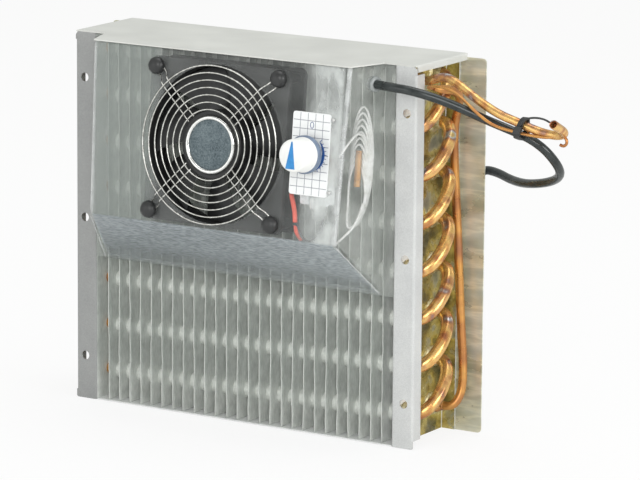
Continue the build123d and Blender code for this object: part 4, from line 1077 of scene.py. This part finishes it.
def tint_faces(obj, finishes, choose):
    """Adds finishes to a piece's first one, and gives each face the one whose number choose says."""
    for finish in finishes:
        obj.data.materials.append(finish)
    index = [int(choose(face)) for face in obj.data.polygons]
    obj.data.polygons.foreach_set("material_index", index)


def part_by_sheet(plate):
    """Gives the tube sheet's outer face and the front of its rear fold the finish with painted reflection
    and painted light, and leaves the mounting flange plain."""
    # picks the faces that take the sheet finish with painted reflection and painted light
    def stained(face):
        """Whether a face looks outwards on the sheet, or forwards behind the middle."""
        on_sheet = face.center.x < tube_sheet + 0.001 and face.normal.x > 0.9
        return on_sheet or face.normal.y < -0.9 and face.center.y > 0
    tint_faces(plate, [SHEET_PAINTED_REFLECTION], stained)


def part_by_side(plate, out, finish):
    """Gives the faces of a sheet that look along one direction a finish of their own."""
    tint_faces(plate, [finish], lambda face: sum(a * b for a, b in zip(face.normal, out)) > 0.9)


def make_bend_glints():
    """Painted highlights as bright lines where the hood's walls meet: face to side, and slope to side, at
    both ends. The half width at a depth before the tube sheets is hood_half less depth times hood_draft;
    each line's ends are given as a depth for that width, what to take off it, the depth of the point, and its
    height."""
    lines = (((28.4, 1.1, 28.4, 277.5), (41.0, 1.1, 41.0, 155)),
             ((40.0, 0.6, 40.2, 150.4), (1.0, 0.2, 1.4, 111.6)))
    glints = []
    for hand in (-1, 1):
        for line in lines:
            ends = [(hand * (hood_half - hood_draft * wide - less), front_mm - depth, height)
                    for wide, less, depth, height in line]
            glints.append(tube(np.linspace(*ends, 12) * MM, 0.42 * MM, 8))
    piece("hood_painted_highlights", *join(glints), CLEAR_PAINTED_HIGHLIGHT)


def part_by_slope(hood):
    """Gives the hood's sloping underside, its bends, and its side walls and foot strips a finish each; the
    bends take a painted highlight.
    """
    face_film, slope_film, bend_highlight, wall_film = range(4)

    def film(face):
        """Which film a face of the hood is of, by where it looks and where it lies."""
        n, c = face.normal, face.center
        ahead = c.y < front - 0.002
        if ahead and c.z < slope_top + 0.004 and abs(n.x) < 0.35 and abs(n.z) > 0.3:
            return slope_film
        # painted highlight: the bends between the face and the side walls
        if ahead and c.z > slope_top and 0.2 < abs(n.x) < 0.85 and abs(n.y) > 0.3:
            return bend_highlight
        if abs(n.x) >= 0.85 or abs(n.y) > 0.9 and c.y > front - 0.004:
            return wall_film
        return face_film
    tint_faces(hood, [SLOPE, CLEAR_PAINTED_HIGHLIGHT, CLEAR_SIDE], film)


# ---------------------------------------------------------------- ties, grommet, ends

def make_tie():
    """Nylon band drawn round the two lines and the cable: a hull of three circles, carried across its
    width. It leans towards the open end with height, and a thin curved tail runs out from its head."""
    middle, lean = 232.6, 0.36
    f = front_mm
    circles = [((f + 0.0, 247.5), 3.3), ((f - 1.8, 239.7), 1.4), ((f + 7.6, 238.0), 2.6)]
    t = np.linspace(0, 2 * np.pi, 72, endpoint=False)
    d = np.stack([np.cos(t), np.sin(t)], axis=-1)
    support = np.max([d @ np.array(c) + r for c, r in circles], axis=0)
    slope = (np.roll(support, -1) - np.roll(support, 1)) / (2 * (t[1] - t[0]))
    hull = support[:, None] * d + slope[:, None] * np.stack([-d[:, 1], d[:, 0]], axis=-1)
    rings = [np.concatenate([np.full((len(t), 1), middle + x), hull + d * grow], axis=1)
             for grow, x in ((0.1, -2.3), (1.2, -2.3), (1.45, -2.0), (1.45, 2.0), (1.2, 2.3), (0.1, 2.3))]
    band, faces = skin(rings)
    head = box_form((middle, f - 5.2, 243.4), (5.6, 3.6, 5.6))
    verts, faces = join([(band * MM, faces), head])
    verts[:, 0] += lean * (verts[:, 2] - 243 * MM)
    end = [(middle + 1, f - 5.6, 245), (middle + 4, f - 5.4, 250), (middle + 9, f - 5, 253),
           (middle + 17, f - 5, 253.8), (middle + 25, f - 6, 252.6), (middle + 31, f - 8, 249.6)]
    tail = tube(flow(end, 8), 0.75 * MM, 8)
    piece("nylon_tie", *join([(verts, faces), tail]), NYLON, stands_for=("cable_tie",), sharp=40)


def box_form(centre, size, power=0.18):
    """Rounded block as a superquadric: each axis is a signed power of sines and cosines."""
    u = np.linspace(-np.pi / 2, np.pi / 2, 17)[:, None]
    v = np.linspace(0, 2 * np.pi, 32, endpoint=False)[None, :]
    level, rise = signed_power(np.cos(u), power), signed_power(np.sin(u), power)
    half = np.array(size) / 2
    x = half[0] * level * signed_power(np.cos(v), power)
    y = half[1] * level * signed_power(np.sin(v), power)
    z = half[2] * rise + 0 * v
    grid = (np.stack([x, y, z], axis=-1) + np.array(centre)) * MM
    return grid.reshape(-1, 3), grid_faces(17, 32, wrap_v=True)


def make_grommet():
    """Turned grey grommet on the cable's exit, lipped both sides of the hood's drawn-in side wall."""
    low, high = low_high("cable_grommet")
    centre = (low + high) / 2
    a = math.atan(hood_draft)
    out = np.array([math.cos(a), -math.sin(a), 0.0])
    side = np.array([math.sin(a), math.cos(a), 0.0])
    up = np.array([0.0, 0.0, 1.0])

    def place(p):
        """Places with the turned height straight out of the side wall."""
        p = np.asarray(p, float)
        return centre + p[..., :1] * side + p[..., 1:2] * up + p[..., 2:3] * out
    profile = [(3.4, -3.0), (5.0, -3.0), (5.5, -2.4), (5.5, -1.0), (4.3, -0.7), (4.3, 0.7), (5.5, 0.9),
               (5.5, 2.0), (4.9, 2.7), (3.9, 3.0), (3.4, 2.9)]
    piece("grommet", *turned(profile[::-1], 32, place), GROMMET, stands_for=("cable_grommet",), sharp=60)


def make_coil_tie():
    """Band round the lying turns: rings whose width and height are signed powers of cosine and sine."""
    low, high = low_high("coil_tie")
    t = np.linspace(0, 2 * np.pi, 64, endpoint=False)
    centre, half = (low + high) / 2, (high - low) / 2
    c, s = signed_power(np.cos(t), 0.45), signed_power(np.sin(t), 0.45)
    rings = [centre + np.stack([(half[0] - inset) * c, half[1] * y + 0 * t, (half[2] - inset) * s], axis=-1)
             for inset, y in ((1.0 * MM, -1), (0.0, -1), (0.0, 1), (1.0 * MM, 1))]
    return piece("coil_band", *skin(rings), NYLON, stands_for=("coil_tie",), sharp=40)


def make_cores():
    """Three cores fanning out of the stripped jacket, each with a crimped ferrule."""
    x, y = cable_tail[-1][:2]
    cores, pins = [], []
    for k, colour in ((-1, CORE_BLUE), (0, CORE_GREEN), (1, CORE_BROWN)):
        lift = 4.4 if k == 0 else 1.6
        points = [(x + 1.5 * k - 0.4, y - 1.5, lift), (x + 1.6 * k, y + 6, lift),
                  (x + 4 * k + 1, y + 15, 1.9), (x + 2.5 + 9 * k, y + 33 - 2 * abs(k), 1.25)]
        line = flow(points, 10)
        cores.append(piece(f"core_{k + 2}", *tube(line, 1.15 * MM, 12), colour,
                           stands_for=("end_cores",) if k == 0 else ()))
        tip = line[-1] - line[-2]
        tip[2] = 0
        tip /= np.linalg.norm(tip)
        path = line[-1] + tip * np.array([[-1.0], [0.5], [1.2], [7.6], [8.0]]) * MM
        pins.append(tube(path, np.array([1.24, 1.24, 1.0, 1.0, 0.8]) * MM, 12))
    ends = piece("ferrules", *join(pins), TIN, stands_for=("end_ferrules",), sharp=40)
    return cores + [ends]


# ---------------------------------------------------------------- stage

def mix_by_ray(tree, lit, shown, operation, other, target):
    """Mixes two shaders into a target. The share of the second one is an operation on whether the ray
    comes straight from the eye and on another value: a number, or a kind of ray."""
    nodes, links = tree.nodes, tree.links
    ray = nodes.new("ShaderNodeLightPath").outputs
    share = nodes.new("ShaderNodeMath")
    share.operation = operation
    links.new(ray["Is Camera Ray"], share.inputs[0])
    if isinstance(other, str):
        links.new(ray[other], share.inputs[1])
    else:
        share.inputs[1].default_value = other
    mix = nodes.new("ShaderNodeMixShader")
    for socket, source in enumerate((share, lit, shown)):
        links.new(source.outputs[0], mix.inputs[socket])
    links.new(mix.outputs[0], nodes[target].inputs["Surface"])


def make_stage():
    """Pale floor that keeps a share of the shadow, a white surround, and four large soft lamps."""
    world = bpy.data.worlds.new("surround")
    scene.world = world
    world.use_nodes = True
    back = world.node_tree.nodes["Background"]
    seen = world.node_tree.nodes.new("ShaderNodeBackground")
    for node, colour, strength in ((back, (0.97, 0.99, 0.96, 1), 0.62), (seen, (1, 1, 1, 1), 1.0)):
        node.inputs["Color"].default_value = colour
        node.inputs["Strength"].default_value = strength
    mix_by_ray(world.node_tree, back, seen, "MAXIMUM", "Is Transmission Ray", "World Output")

    mesh = bpy.data.meshes.new("floor")
    mesh.from_pydata([(-9, -9, 0), (9, -9, 0), (9, 9, 0), (-9, 9, 0)], [], [(0, 1, 2, 3)])
    floor = bpy.data.objects.new("floor", mesh)
    scene.collection.objects.link(floor)
    floor.location.z = cad_low[2] - 0.0002
    paper = Finish("floor_paper", (0.9, 0.9, 0.9), roughness=0.9)
    mix_by_ray(paper.mat.node_tree, paper.shader, paper.add("Emission"), "MULTIPLY", 0.85, "Material Output")
    mesh.materials.append(paper.mat)

    lamps = (("key", (1.5, -2.75, 1.35), 1.5, 32), ("side", (2.7, -0.5, 0.9), 1.2, 24),
             ("front", (-1.4, -2.7, 0.8), 1.8, 12), ("top", (0.2, 0.4, 2.9), 1.8, 22))
    for name, place, size, watts in lamps:
        data = bpy.data.lights.new(name, "AREA")
        data.energy = watts
        data.size = size
        lamp = bpy.data.objects.new(name, data)
        scene.collection.objects.link(lamp)
        lamp.location = place
        aim = Vector((0, 0, 0.14)) - Vector(place)
        lamp.rotation_euler = aim.to_track_quat("-Z", "Y").to_euler()


# ---------------------------------------------------------------- making

set_camera()
cable, cable_line, cable_length = make_cable()
scene.view_settings.view_transform = "Standard"
make_stage()
part_by_side(rounded("left_end_plate", FLANGE_LEFT_PAINTED_SHADE, bevel=0.15), (1, 0, 0), FIN_PAINTED_LIGHT)
part_by_sheet(rounded("right_end_plate", FLANGE_RIGHT_PAINTED_LIGHT, bevel=0.15))
rounded("top_panel", LID, bevel=0.2)
rounded("bottom_sheet", TRAY_PAINTED_LIGHT, bevel=0.15)
part_by_side(rounded("back_plate", POLISHED, bevel=0.15), (0, 1, 0), MILL)
rounded("back_plate_rivets", MILL)
part_by_slope(rounded("hood", CLEAR, sharp=50))
rounded("fan_bearing", BRONZE)
rounded("fan_stator", CORE_IRON)
rounded("thermostat_body", SWITCH, bevel=0.3)
rounded("thermostat_spindle", STEEL, body="thermostat knob")
rounded("thermostat_plate", PRINT, bevel=0.1)
rounded("sensor_bulb", COPPER, sharp=60)
make_fins()
make_coil()
make_lines()
make_fan_frame()
make_rotor()
make_guard()
make_knobs()
make_dial()
make_capillary_loops()
make_leads()
make_sockets()
make_bend_glints()
make_tie()
make_grommet()
band = make_coil_tie()
ends = make_cores()
